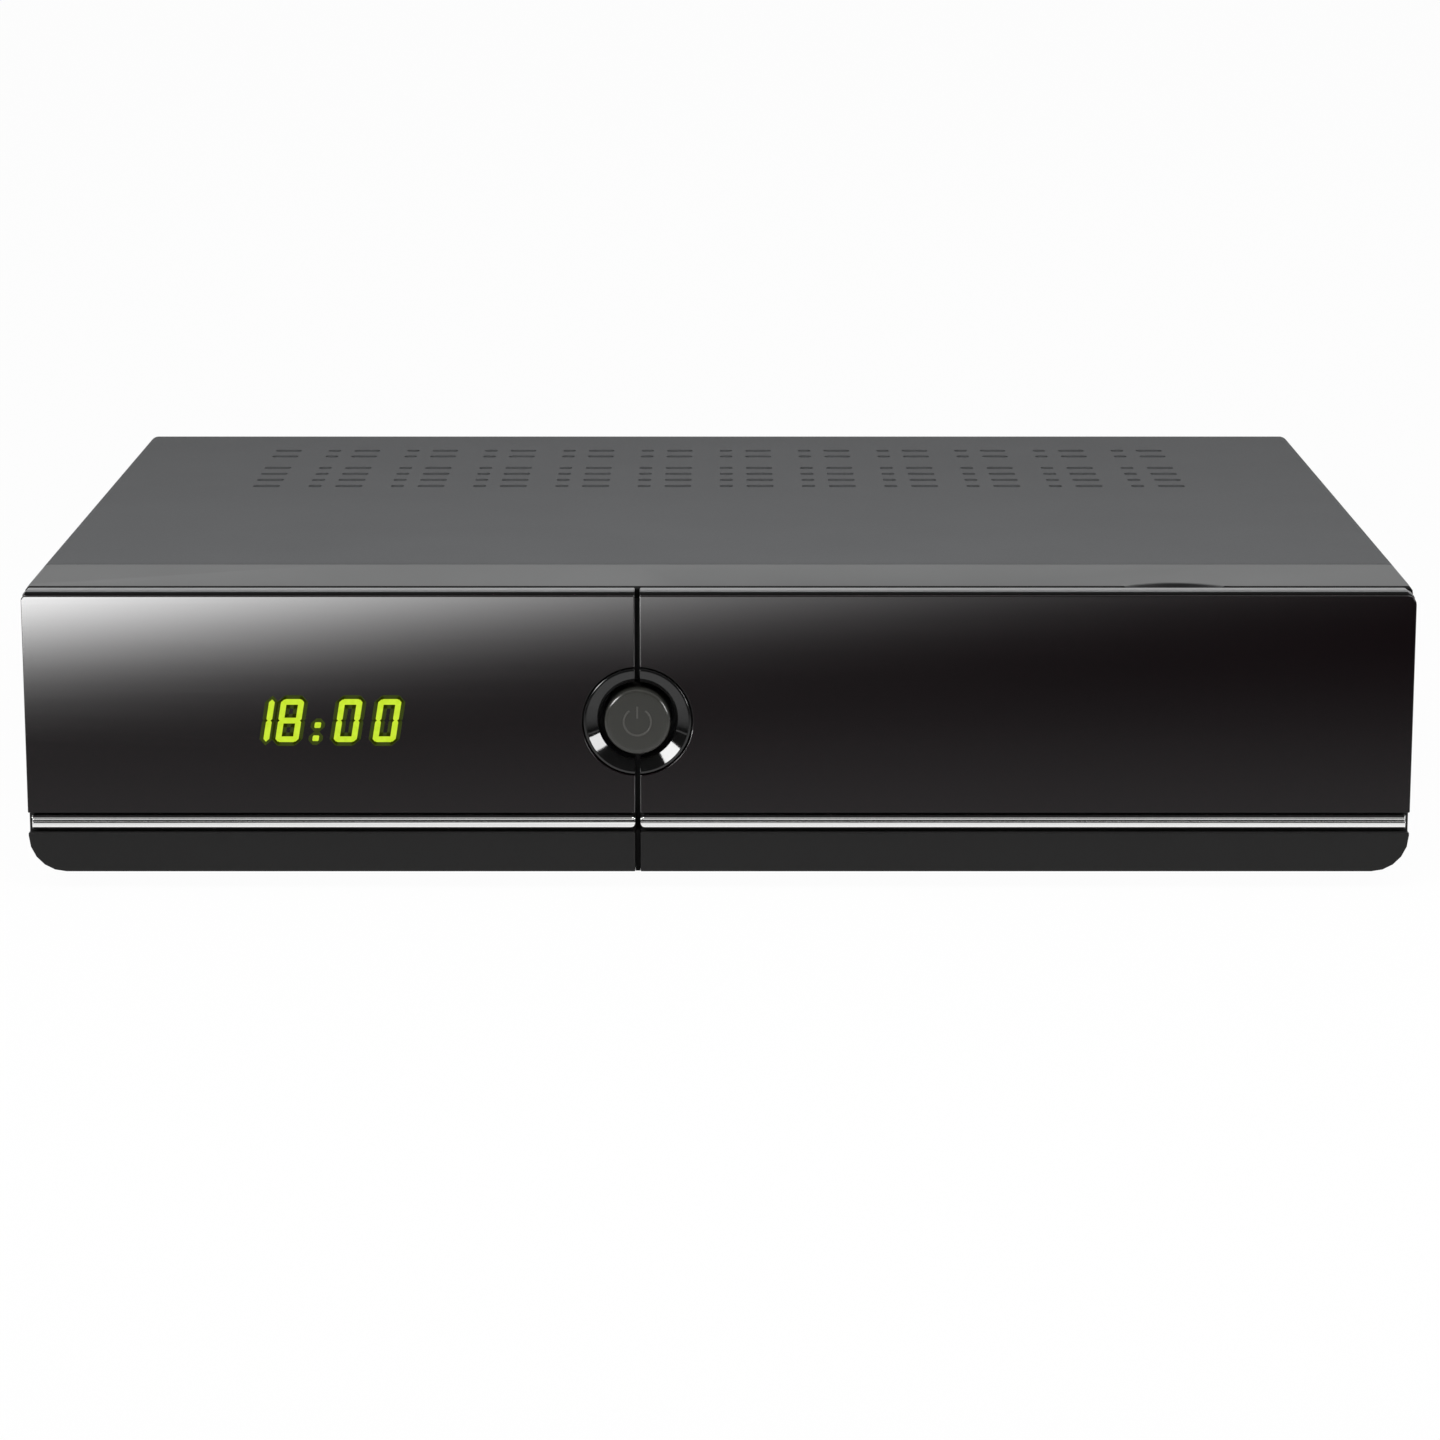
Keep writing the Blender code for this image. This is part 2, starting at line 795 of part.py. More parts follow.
def make_rear_panel():
    """The plate behind the boards, with a foot folded in along the pan and a cut-out for each socket."""
    sheet_outline = rounded(
        (-pan_half, pan_half),
        (pan_bottom, top - sheet - gap),
        (0, 0, bend_radius, bend_radius),
    )
    panel = part("rear_panel", bare_steel, outline("Y", sheet_outline, panel_y))
    cuts = [
        box(around(hdmi_x, hdmi_width + 2 * gap), through_panel, around_height(on_board, hdmi_height)),
        box(
            around(ethernet_x, ethernet_width + 2 * gap),
            through_panel,
            around_height(on_board, ethernet_height),
        ),
        box(around(scart_x, scart_width + 2 * gap), through_panel, around_height(on_board, scart_height)),
        box(around(inlet_x, inlet_width + 2 * gap), through_panel, around(inlet_z, inlet_height + 2 * gap)),
    ]
    body = rocker_body_size()
    cuts.append(box(around(switch_x, body[0] + 2 * gap), through_panel, around(switch_z, body[1] + 2 * gap)))
    for x in satellite_places():
        cuts.append(rod("Y", (x, on_board + f_axis_height), f_radius + gap, through_panel))
    for index in range(len(jack_names)):
        centre = (jack_first_x - index * jack_pitch, on_board + jack_axis_height)
        cuts.append(rod("Y", centre, jack_radius + gap, through_panel))
    for x in (-rear_screw_spread, 0, rear_screw_spread):
        centre = (x, top - rear_screw_drop)
        cuts.append(rod("Y", centre, screw_shank_radius + hole_slack, through_panel, sides=12))
    cut(panel, *cuts)


def around_height(low, height):
    """A cut-out's heights around a socket that stands on a board."""
    return low - gap, low + height + gap


def satellite_places():
    return tuple(around(tuner_x, f_pitch))


def rocker_body_size():
    """Width and height of the switch body behind the panel."""
    return (
        rocker_width + 2 * (rocker_gap + rocker_wall),
        2 * (rocker_radius + rocker_gap + rocker_wall),
    )


through_panel = (panel_y[0] - overrun, panel_y[1] + overrun)


def make_bezel():
    """The plastic frame: a skin with a sloping ledge, a front wall, hinge ears, a finger pocket, bosses."""
    skin_z = (pan_bottom, top)
    radii = (lower_corner_radius, lower_corner_radius, bend_radius, bend_radius)
    outer = rounded((-half_width, half_width), skin_z, radii)
    skin = part("front_bezel", smooth_plastic, outline("Y", outer, bezel_y))
    inner_radii = [max(radius - bezel_skin, bite) for radius in radii]
    inner_x = (bezel_skin - half_width, half_width - bezel_skin)
    inner_z = (pan_bottom + bezel_skin, top - bezel_skin - ledge_rise)
    hollow = rounded(inner_x, inner_z, inner_radii)
    cut(skin, outline("Y", hollow, (bezel_y[0] - overrun, bezel_y[1] + overrun)))
    slope = [
        (bezel_y[0] - overrun, front_top - ledge_rise * overrun / ledge_depth),
        (bezel_y[1], top),
        (bezel_y[1], top + overrun),
        (bezel_y[0] - overrun, top + overrun),
    ]
    cut(skin, outline("X", slope, (-half_width - overrun, half_width + overrun)))
    swing = (door_x[0] - seam_width, half_width + overrun)
    swing_top = hinge_z + math.hypot(frame_y[1] - hinge_y, hinge_above_edge) + gap
    cut(skin, box(swing, (bezel_y[0] - overrun, wall_y[0]), (pan_bottom - overrun, swing_top)))
    wall_outline = rounded(
        (inner_x[0] - bite, inner_x[1] + bite),
        (inner_z[0] - bite, inner_z[1] + bite),
        inner_radii,
    )
    join(skin, outline("Y", wall_outline, wall_y))
    pocket_back = bezel_y[0] + pocket_reach + pocket_wall
    half_pocket = math.sqrt(pocket_radius**2 - (pocket_radius - pocket_reach) ** 2) + pocket_wall
    pocket_bottom = front_top - pocket_depth
    block = box(
        (pocket_x - half_pocket, pocket_x + half_pocket),
        (wall_y[1] - bite, pocket_back),
        (pocket_bottom - pocket_wall, inner_z[1] + bite),
    )
    arms = []
    arm_z = around(hinge_z, 2 * ear_radius * arm_share)
    for x in ear_x:
        arms.append(box(around(x, ear_width), (hinge_y, wall_y[0] + bite), arm_z))
    bosses = []
    for x, z in front_screw_places():
        bosses.append(rod("Y", (x, z), boss_radius, (wall_y[1] - bite, front_board_y[0] - gap), sides=16))
    join(skin, block, *arms, *bosses)
    join(skin, *[rod("X", (hinge_y, hinge_z), ear_radius, around(x, ear_width)) for x in ear_x])
    wall_cut = (wall_y[0] - overrun, wall_y[1] + overrun)
    windows = [
        box(
            around(display_x, display_width + 2 * display_window_gap),
            wall_cut,
            around(button_z, display_height + 2 * display_window_gap),
        ),
        rod("Y", (seam_x, button_z), button_radius + button_guide_gap, wall_cut, sides=48),
        rod("Y", (ir_x, ir_z), ir_hole_radius, wall_cut, sides=16),
        box(around(usb_x, usb_width + 2 * gap), wall_cut, around_height(on_board, usb_height)),
        box(
            around(card_x, card_slot_width + 2 * card_mouth_gap),
            wall_cut,
            around(on_board + card_height * card_slot_share, card_slot_height + 2 * card_mouth_gap),
        ),
    ]
    for index in range(len(key_names)):
        windows.append(
            box(
                around(key_first_x + index * key_pitch, key_width + 2 * key_guide_gap),
                wall_cut,
                around(key_z, key_height + 2 * key_guide_gap),
            )
        )
    cut(skin, *windows)
    pocket_middle = bezel_y[0] + pocket_reach - pocket_radius
    cut(skin, rod("Z", (pocket_x, pocket_middle), pocket_radius, (pocket_bottom, top + overrun), sides=64))
    bores = [
        rod("X", (hinge_y, hinge_z), pin_radius + gap, around(x, ear_width + 2 * overrun), sides=12)
        for x in ear_x
    ]
    for x, z in front_screw_places():
        bores.append(rod("Y", (x, z), screw_shank_radius + hole_slack, boss_bore_y(), sides=10))
    cut(skin, *bores)


def boss_bore_y():
    return front_board_y[0] - screw_grip, front_board_y[0] + overrun


def front_screw_places():
    """The front board's screws, at its corners."""
    return [
        (x, z)
        for x in (front_board_left + front_screw_inset, front_board_right - front_screw_inset)
        for z in (front_board_bottom + front_screw_inset, front_board_top - front_screw_inset)
    ]


def frame_shapes(x, top_radii, corner_radii):
    """The back plate of one half of the front, and the band that comes forward under the strip."""
    plate = rounded(x, (pan_bottom, front_top), (*corner_radii, *top_radii))
    band = rounded(x, (pan_bottom, band_top), (*corner_radii, 0, 0))
    return outline("Y", plate, frame_y), outline("Y", band, (0, frame_y[0] + bite))


def strip_outline():
    """The strip's section in (y, z): two ridges with a fine groove between them."""
    face = strip_setback
    back = lens_thickness
    split = strip_z[0] + strip_height * strip_groove_share
    return [
        (back, strip_z[0]),
        (face + strip_groove, strip_z[0]),
        (face, strip_z[0] + strip_groove),
        (face, split - strip_groove),
        (face + strip_groove, split),
        (face, split + strip_groove),
        (face + strip_groove, strip_z[1]),
        (back, strip_z[1]),
    ]


def make_ring(name, x):
    """Half of the funnel around the power button, parted at the seam."""
    profile = [
        (ring_outer_radius - ring_rim, -ring_proud),
        (ring_outer_radius, 0),
        (ring_outer_radius, lens_thickness),
        (ring_inner_radius, lens_thickness),
        (ring_inner_radius, ring_funnel_depth),
    ]
    ring = turned(name, gloss_black, profile, sides=64)
    ring.location = (seam_x, 0, button_z)
    far = ring_outer_radius + overrun
    keep = box(x, (-overrun, lens_thickness + overrun), (button_z - far, button_z + far))
    change = shape_object(f"{name}_half", [keep], tools)
    change.hide_render = True
    change.display_type = "WIRE"
    half = ring.modifiers.new("half", "BOOLEAN")
    half.operation = "INTERSECT"
    half.solver = "EXACT"
    half.object = change
    return ring, change


def make_fascia():
    """The fixed left half: frame with display and button openings, gloss lens, strip and half ring."""
    plate, band = frame_shapes(left_x, (0, left_top_radius), (lower_corner_radius, 0))
    frame = part("fascia_frame", band_plastic, plate)
    posts = []
    for x_share in post_x_shares:
        for z_share in post_height_shares:
            x = left_x[0] + (left_x[1] - left_x[0]) * x_share
            z = pan_bottom + (front_top - pan_bottom) * z_share
            posts.append(rod("Y", (x, z), post_radius, (frame_y[1] - bite, wall_y[0] - gap), sides=12))
    join(frame, band, *posts)
    through = (frame_y[0] - overrun, frame_y[1] + overrun)
    cut(
        frame,
        box(
            around(display_x, display_width + 2 * display_window_gap),
            through,
            around(button_z, display_height + 2 * display_window_gap),
        ),
        rod("Y", (seam_x, button_z), ring_inner_radius, through, sides=48),
        rod("Y", (ir_x, ir_z), ir_hole_radius, through, sides=16),
    )
    lens_edge = rounded(left_x, lens_z, (0, 0, 0, left_top_radius))
    lens = part("fascia_lens", gloss_panel, outline("Y", lens_edge, (0, lens_thickness)))
    through_lens = (-overrun, lens_thickness + overrun)
    cut(lens, rod("Y", (seam_x, button_z), ring_outer_radius + gap, through_lens, sides=64))
    strip_x = (left_x[0] + strip_inset, left_x[1])
    part("fascia_trim_strip", bright_strip, outline("X", strip_outline(), strip_x))
    make_ring("power_ring_left", (seam_x - ring_outer_radius - overrun, left_x[1]))


def make_door():
    """The flap: the same four layers on the right, with hinge notches and bores near the lower edge."""
    made = []
    plate, band = frame_shapes(door_x, (right_top_radius, 0), (0, lower_corner_radius))
    frame = part("door_frame", band_plastic, plate)
    made += [frame, join(frame, band)]
    through = (frame_y[0] - overrun, frame_y[1] + overrun)
    made.append(cut(frame, rod("Y", (seam_x, button_z), ring_inner_radius, through, sides=48)))
    notches = []
    bores = []
    room = ear_radius + gap
    for x in ear_x:
        notches.append(
            box(
                around(x, ear_width + 2 * gap),
                (hinge_y - room, frame_y[1] + overrun),
                (pan_bottom - overrun, hinge_z + room),
            )
        )
        along = around(x, pin_length() + 2 * gap)
        bores.append(rod("X", (hinge_y, hinge_z), pin_radius + gap, along, sides=12))
    made.append(cut(frame, *bores))
    made.append(cut(frame, *notches))
    lens_edge = rounded(door_x, lens_z, (0, 0, right_top_radius, 0))
    lens = part("door_lens", gloss_panel, outline("Y", lens_edge, (0, lens_thickness)))
    through_lens = (-overrun, lens_thickness + overrun)
    hole = rod("Y", (seam_x, button_z), ring_outer_radius + gap, through_lens, sides=64)
    made += [lens, cut(lens, hole)]
    strip_x = (door_x[0], door_x[1] - strip_inset)
    made.append(part("door_trim_strip", bright_strip, outline("X", strip_outline(), strip_x)))
    made += make_ring("power_ring_right", (door_x[0], seam_x + ring_outer_radius + overrun))
    for side, x in zip(("left", "right"), ear_x):
        pin = rod("X", (hinge_y, hinge_z), pin_radius, around(x, pin_length()), sides=12)
        made.append(part(f"door_hinge_pin_{side}", bare_steel, pin))
    return made


def pin_length():
    return ear_width + 2 * (gap + pin_grip)


def make_catch():
    """A small round magnet on the front wall that holds the door shut."""
    centre = (door_x[0] + magnet_inset_x, front_top - magnet_inset_z)
    magnet_y = (wall_y[0] - gap - magnet_length, wall_y[0] - gap)
    part("door_catch_magnet", tin, rod("Y", centre, magnet_radius, magnet_y))


def make_button():
    """The round cap, its stem and the flange that keeps it behind the wall."""
    profile = [
        (0, -button_proud),
        (button_radius - button_edge, -button_proud),
        (button_radius, button_edge - button_proud),
        (button_radius, flange_y[0]),
        (button_radius + flange_width, flange_y[0]),
        (button_radius + flange_width, flange_y[1]),
        (0, flange_y[1]),
    ]
    button = turned("power_button", cap_plastic, profile, sides=48)
    button.location = (seam_x, 0, button_z)
    return button


def make_key(name, x):
    """One key: a cap through the wall and a flange behind it."""
    key_y = (wall_y[0] - key_proud, flange_y[1])
    key = part(name, cap_plastic, box(around(x, key_width), key_y, around(key_z, key_height)))
    round_edges(key, key_edge)
    wide = around(x, key_width + 2 * flange_width)
    flange = box(wide, flange_y, around(key_z, key_height + 2 * flange_width))
    return [key, join(key, flange)]


def make_front_board():
    """The board behind the wall, with its switches, the display on a spacer and the remote eye."""
    board_x = (front_board_left, front_board_right)
    board = part("front_pcb", green_board, box(board_x, front_board_y, (front_board_bottom, front_board_top)))
    through = (front_board_y[0] - overrun, front_board_y[1] + overrun)
    screw_holes = [
        rod("Y", place, screw_shank_radius + hole_slack, through, sides=10) for place in front_screw_places()
    ]
    cut(board, *screw_holes)
    places = [(seam_x, button_z)]
    places += [(key_first_x + index * key_pitch, key_z) for index in range(len(key_names))]
    soldered = (switch_y[0], front_board_y[0] + bite)
    join(board, *[box(around(x, switch_size), soldered, around(z, switch_size)) for x, z in places])
    plunger = (plunger_y, switch_y[0] + bite)
    join(board, *[rod("Y", place, plunger_radius, plunger, sides=12) for place in places])
    display_y = (frame_y[0] + display_setback, frame_y[0] + display_setback + display_depth)
    module = part(
        "display_module",
        black_plastic,
        box(around(display_x, display_width), display_y, around(button_z, display_height)),
    )
    outer_width = display_width - 2 * spacer_margin
    outer_height = display_height - 2 * spacer_margin
    stand_y = (display_y[1] - bite, front_board_y[0] - gap)
    join(module, box(around(display_x, outer_width), stand_y, around(button_z, outer_height)))
    cut(
        module,
        box(
            around(display_x, outer_width - 2 * spacer_wall),
            (display_y[1] + spacer_wall, stand_y[1] + overrun),
            around(button_z, outer_height - 2 * spacer_wall),
        ),
    )
    eye_y = (wall_y[1] + gap, front_board_y[0] - gap)
    eye = part("ir_receiver", black_plastic, box(around(ir_x, ir_width), eye_y, around(ir_z, ir_height)))
    dome = rod("Y", (ir_x, ir_z), ir_lens_radius / 2, (frame_y[1], eye_y[0] + bite), ir_lens_radius, sides=16)
    join(eye, dome)


def socket_box(name, finish, x, width, height, length, front):
    """A socket's outer block, which stands on the main board with its mouth at the given place."""
    shell = box(around(x, width), sorted((front, front + length)), (on_board, on_board + height))
    return part(name, finish, shell)


def make_front_sockets():
    """The memory-stick socket and the card reader, both on the main board behind the door."""
    mouth = wall_y[0] + wall_thickness * usb_proud_share
    usb = socket_box("front_usb_socket", tin, usb_x, usb_width, usb_height, usb_length, mouth)
    inside_z = (on_board + usb_shell, on_board + usb_height - usb_shell)
    inside_y = (mouth - overrun, mouth + usb_mouth_depth)
    cut(usb, box(around(usb_x, usb_width - 2 * usb_shell), inside_y, inside_z))
    tongue_z = (inside_z[1] - usb_tongue - usb_shell, inside_z[1] - usb_shell)
    tongue_y = (mouth + usb_shell, mouth + usb_mouth_depth + bite)
    join(usb, box(around(usb_x, usb_width - 4 * usb_shell), tongue_y, tongue_z))
    reader_front = wall_y[1] + gap
    sizes = (card_width, card_height, card_length)
    reader = socket_box("card_reader", black_plastic, card_x, *sizes, reader_front)
    slot_z = around(on_board + card_height * card_slot_share, card_slot_height)
    slot_y = (reader_front - overrun, reader_front + card_slot_depth)
    cut(reader, box(around(card_x, card_slot_width), slot_y, slot_z))


def make_main_board():
    """The main board with its processor, heat sink, memory and capacitors."""
    board = part(
        "main_pcb",
        green_board,
        box((main_board_left, main_board_right), (main_board_front, main_rear), board_z),
    )
    main, _ = board_screw_places()
    through = (board_z[0] - overrun, board_z[1] + overrun)
    cut(board, *[rod("Z", place, screw_shank_radius + hole_slack, through, sides=10) for place in main])
    chip_z = (board_z[1] - bite, board_z[1] + chip_height)
    join(board, box(around(chip_x, chip_size), around(chip_y, chip_size), chip_z))
    sink_z = chip_z[1] + gap
    points = [(chip_x - sink_size / 2, sink_z), (chip_x + sink_size / 2, sink_z)]
    fin_pitch = sink_size / sink_fins
    fin = fin_pitch * sink_fin_share
    last_fin = sink_size - fin
    for index in range(sink_fins):
        right = chip_x + sink_size / 2 - index * last_fin / (sink_fins - 1)
        tips = [(right, sink_z + sink_height), (right - fin, sink_z + sink_height)]
        valley = sink_z + sink_base
        points += [(right, valley)] if index else []
        points += tips
        points += [(right - fin, valley)] if index < sink_fins - 1 else []
    part("processor_heatsink", aluminium, outline("Y", points, around(chip_y, sink_size)))
    chips = []
    for index in range(2):
        place_y = around(memory_y + index * memory_pitch, memory_width)
        chip_z = (board_z[1] - bite, board_z[1] + memory_height)
        chips.append(box(around(memory_x, memory_length), place_y, chip_z))
    join(board, *chips)
    cans = []
    first, last = (main_board_front + main_depth * share for share in cap_row_shares)
    for index in range(cap_count):
        place = (cap_x, first + (last - first) * index / (cap_count - 1))
        cans.append(rod("Z", place, cap_radius, (board_z[1] - bite, board_z[1] + cap_height), sides=14))
    join(board, *cans)


def make_tuner():
    """The screened tuner with its two threaded sockets through the rear panel."""
    can_back = panel_y[0] - tuner_setback
    can_y = (can_back - tuner_length, can_back)
    can_z = (on_board, on_board + tuner_height)
    can = part("tuner_can", tin, box(around(tuner_x, tuner_width), can_y, can_z))
    round_edges(can, cap_edge)
    for name, x in zip(("satellite_loop_output", "satellite_input"), satellite_places()):
        tip = panel_y[1] + f_length
        profile = [
            (f_flange_radius, can_back + gap),
            (f_flange_radius, panel_y[0] - gap),
            (f_radius, panel_y[0] - gap),
            (f_radius, tip - f_tip_edge),
            (f_radius - f_tip_edge, tip),
            (f_core_radius, tip),
            (f_core_radius, tip - f_tip_edge),
            (f_bore_radius, tip - f_tip_edge),
            (f_bore_radius, tip - f_bore_depth),
            (0, tip - f_bore_depth),
        ]
        closed = [(0, can_back + gap), *profile]
        socket = turned(name, tin, closed, sides=24)
        socket.location = (x, 0, on_board + f_axis_height)


def make_rear_sockets():
    """The sockets that stand on the main board and look out through the rear panel."""
    mouth = panel_y[1] + rear_proud
    tall = around_mouth(hdmi_height)
    hdmi = socket_box("hdmi_socket", tin, hdmi_x, hdmi_width, hdmi_height, -hdmi_length, mouth)
    inside_x = around(hdmi_x, hdmi_width - 2 * socket_shell)
    cut(hdmi, box(inside_x, (mouth - hdmi_mouth_depth, mouth + overrun), tall))
    tongue_y = (mouth - hdmi_mouth_depth - bite, mouth - socket_shell)
    join(
        hdmi,
        box(
            around(hdmi_x, hdmi_width - 6 * socket_shell),
            tongue_y,
            around(on_board + hdmi_height / 2, hdmi_tongue),
        ),
    )
    ethernet = socket_box(
        "ethernet_socket", tin, ethernet_x, ethernet_width, ethernet_height, -ethernet_length, mouth
    )
    low = on_board + ethernet_mouth_lift
    cut(
        ethernet,
        box(
            around(ethernet_x, ethernet_mouth_width),
            (mouth - ethernet_mouth_depth, mouth + overrun),
            (low, low + ethernet_mouth_height),
        ),
    )
    sizes = (scart_width, scart_height, -scart_length)
    scart = socket_box("scart_socket", black_plastic, scart_x, *sizes, mouth)
    inner_x = around(scart_x, scart_width - 2 * scart_wall)
    inner_z = (on_board + scart_wall, on_board + scart_height - scart_wall)
    slanted = [
        (inner_x[0] + scart_slant, inner_z[0]),
        (inner_x[1], inner_z[0]),
        (inner_x[1], inner_z[1]),
        (inner_x[0], inner_z[1]),
        (inner_x[0], inner_z[0] + scart_slant),
    ]
    cut(scart, outline("Y", slanted, (mouth - scart_mouth_depth, mouth + overrun)))
    join(
        scart,
        box(
            around(scart_x, scart_tongue_width),
            (mouth - scart_mouth_depth - bite, mouth - scart_wall),
            around(on_board + scart_height / 2, scart_tongue_height),
        ),
    )
    block_y = (panel_y[0] - gap - jack_length, panel_y[0] - gap)
    for index, (name, colour) in enumerate(zip(jack_names, jack_colours)):
        x = jack_first_x - index * jack_pitch
        centre = (x, on_board + jack_axis_height)
        jack = part(
            name,
            (colour, jack_roughness, 0.0),
            box(around(x, jack_width), block_y, (on_board, on_board + jack_height)),
        )
        tip = panel_y[1] + jack_proud
        join(jack, rod("Y", centre, jack_radius, (block_y[1] - bite, tip)))
        cut(jack, rod("Y", centre, jack_bore_radius, (tip - jack_bore_depth, tip + overrun), sides=12))


def around_mouth(height):
    """A mouth's heights inside the shell of a socket on the board."""
    return on_board + socket_shell, on_board + height - socket_shell


def make_power_supply():
    """The power board on its insulating sheet, with the parts that stand on it."""
    _, places = board_screw_places()
    board = part("psu_pcb", green_board, box((psu_left, psu_right), (psu_front, psu_rear), board_z))
    through = (board_z[0] - overrun, board_z[1] + overrun)
    cut(board, *[rod("Z", place, screw_shank_radius + hole_slack, through, sides=10) for place in places])
    sheet_z = (pan_floor_top + gap, pan_floor_top + gap + insulator_thickness)
    film = part(
        "psu_insulator",
        grey_plastic,
        box(
            (psu_left - insulator_margin, psu_right + insulator_margin),
            (psu_front - insulator_margin, psu_rear + insulator_margin),
            sheet_z,
        ),
    )
    clear = (sheet_z[0] - overrun, sheet_z[1] + overrun)
    cut(film, *[rod("Z", place, pillar_radius + insulator_hole_gap, clear, sides=16) for place in places])
    core_z = (on_board, on_board + transformer_height)
    transformer = part(
        "transformer",
        yellow_tape,
        box(around(transformer_x, transformer_width), around(transformer_y, transformer_length), core_z),
    )
    round_edges(transformer, core_proud / 2)
    join(
        transformer,
        box(
            around(transformer_x, transformer_width + 2 * core_proud),
            around(transformer_y, transformer_length * core_share),
            (core_z[0], core_z[1] + core_proud),
        ),
    )
    can = part(
        "bulk_capacitor",
        black_plastic,
        rod("Z", (bulk_x, bulk_y), bulk_radius, (on_board, on_board + bulk_height), sides=28),
    )
    round_edges(can, cap_edge)
    choke = part(
        "line_choke",
        yellow_tape,
        box(around(choke_x, choke_width), around(choke_y, choke_length), (on_board, on_board + choke_height)),
    )
    cut(
        choke,
        box(
            around(choke_x, choke_width - 2 * choke_core),
            around(choke_y, choke_length + 2 * overrun),
            (on_board + choke_core, on_board + choke_height - choke_core),
        ),
    )
    axis_z = on_board + fuse_lift
    tube = part("fuse", glass, rod("Y", (fuse_x, axis_z), fuse_radius, around(fuse_y, fuse_length), sides=16))
    cap_radius_outer = fuse_radius + fuse_cap_wall
    ends = []
    clips = []
    for side in (-1, 1):
        edge = fuse_y + side * (fuse_length / 2 + bite)
        span = sorted((edge, edge - side * fuse_cap_length))
        ends.append(rod("Y", (fuse_x, axis_z), cap_radius_outer, span, sides=16))
        clip_y = around((span[0] + span[1]) / 2, fuse_cap_length / 2)
        clips.append(box(around(fuse_x, fuse_radius), clip_y, (on_board, axis_z)))
    join(tube, *ends)
    join(tube, *clips)


def make_inlet():
    """The two-pin mains inlet, whose flange lies on the outside of the rear panel."""
    flange_at = panel_y[1] + gap
    face = flange_at + inlet_flange
    size_x = around(inlet_x, inlet_width)
    size_z = around(inlet_z, inlet_height)
    inlet = part("mains_inlet", black_plastic, box(size_x, (face - inlet_length, flange_at + bite), size_z))
    margin = switch_flange_margin
    join(
        inlet,
        box(
            around(inlet_x, inlet_width + 2 * margin),
            (flange_at, face),
            around(inlet_z, inlet_height + 2 * margin),
        ),
    )
    side = inlet_mouth_height / 2
    mouth = rounded(
        around(inlet_x, inlet_mouth_width),
        around(inlet_z, inlet_mouth_height),
        (side, side, side, side),
    )
    cut(inlet, outline("Y", mouth, (face - inlet_mouth_depth, face + overrun)))
    pins = []
    for x in around(inlet_x, inlet_pin_pitch):
        span = (face - inlet_mouth_depth - bite, face - inlet_flange)
        pins.append(rod("Y", (x, inlet_z), inlet_pin_radius, span, sides=12))
    join(inlet, *pins)


def make_power_switch():
    """The rocker switch: its frame in the rear panel and the rocker, which rests at off."""
    body = rocker_body_size()
    flange_at = panel_y[1] + gap
    face = flange_at + switch_flange
    housing = part(
        "power_switch_housing",
        black_plastic,
        box(around(switch_x, body[0]), (face - switch_depth, flange_at + bite), around(switch_z, body[1])),
    )
    margin = switch_flange_margin
    join(
        housing,
        box(
            around(switch_x, body[0] + 2 * margin),
            (flange_at, face),
            around(switch_z, body[1] + 2 * margin),
        ),
    )
    pocket_floor = face - rocker_radius
    cut(
        housing,
        box(
            around(switch_x, rocker_width + 2 * rocker_gap),
            (pocket_floor, face + overrun),
            around(switch_z, 2 * (rocker_radius + rocker_gap)),
        ),
    )
    low_angle = math.asin(-rocker_body / rocker_radius)
    high_angle = math.asin(rocker_proud / rocker_radius)
    right = []
    for step in range(5):
        angle = low_angle + (high_angle - low_angle) * step / 4
        right.append((rocker_radius * math.sin(angle), rocker_radius * math.cos(angle)))
    left = [(y, -z) for y, z in reversed(right)]
    points = [*right, (rocker_dip, 0), *left]
    rocker = part("power_switch_rocker", black_plastic, outline("X", points, around(0, rocker_width)))
    rocker.location = (switch_x, face, switch_z)
    rocker.rotation_euler.x = -rocker_tilt
    return rocker


def wire_mesh(points, radius):
    """A round wire through points, as a closed mesh with welded ends."""
    curve = bpy.data.curves.new("wire", "CURVE")
    curve.dimensions = "3D"
    curve.bevel_depth = radius
    curve.bevel_resolution = 1
    curve.use_fill_caps = True
    spline = curve.splines.new("POLY")
    spline.points.add(len(points) - 1)
    for spot, place in zip(spline.points, points):
        spot.co = (*place, 1)
    holder = bpy.data.objects.new("wire", curve)
    scene.collection.objects.link(holder)
    graph = bpy.context.evaluated_depsgraph_get()
    mesh = bpy.data.meshes.new_from_object(holder.evaluated_get(graph))
    bpy.data.objects.remove(holder)
    bm = bmesh.new()
    bm.from_mesh(mesh)
    bmesh.ops.remove_doubles(bm, verts=bm.verts, dist=merge_distance)
    bmesh.ops.recalc_face_normals(bm, faces=bm.faces)
    bm.to_mesh(mesh)
    bm.free()
    return mesh


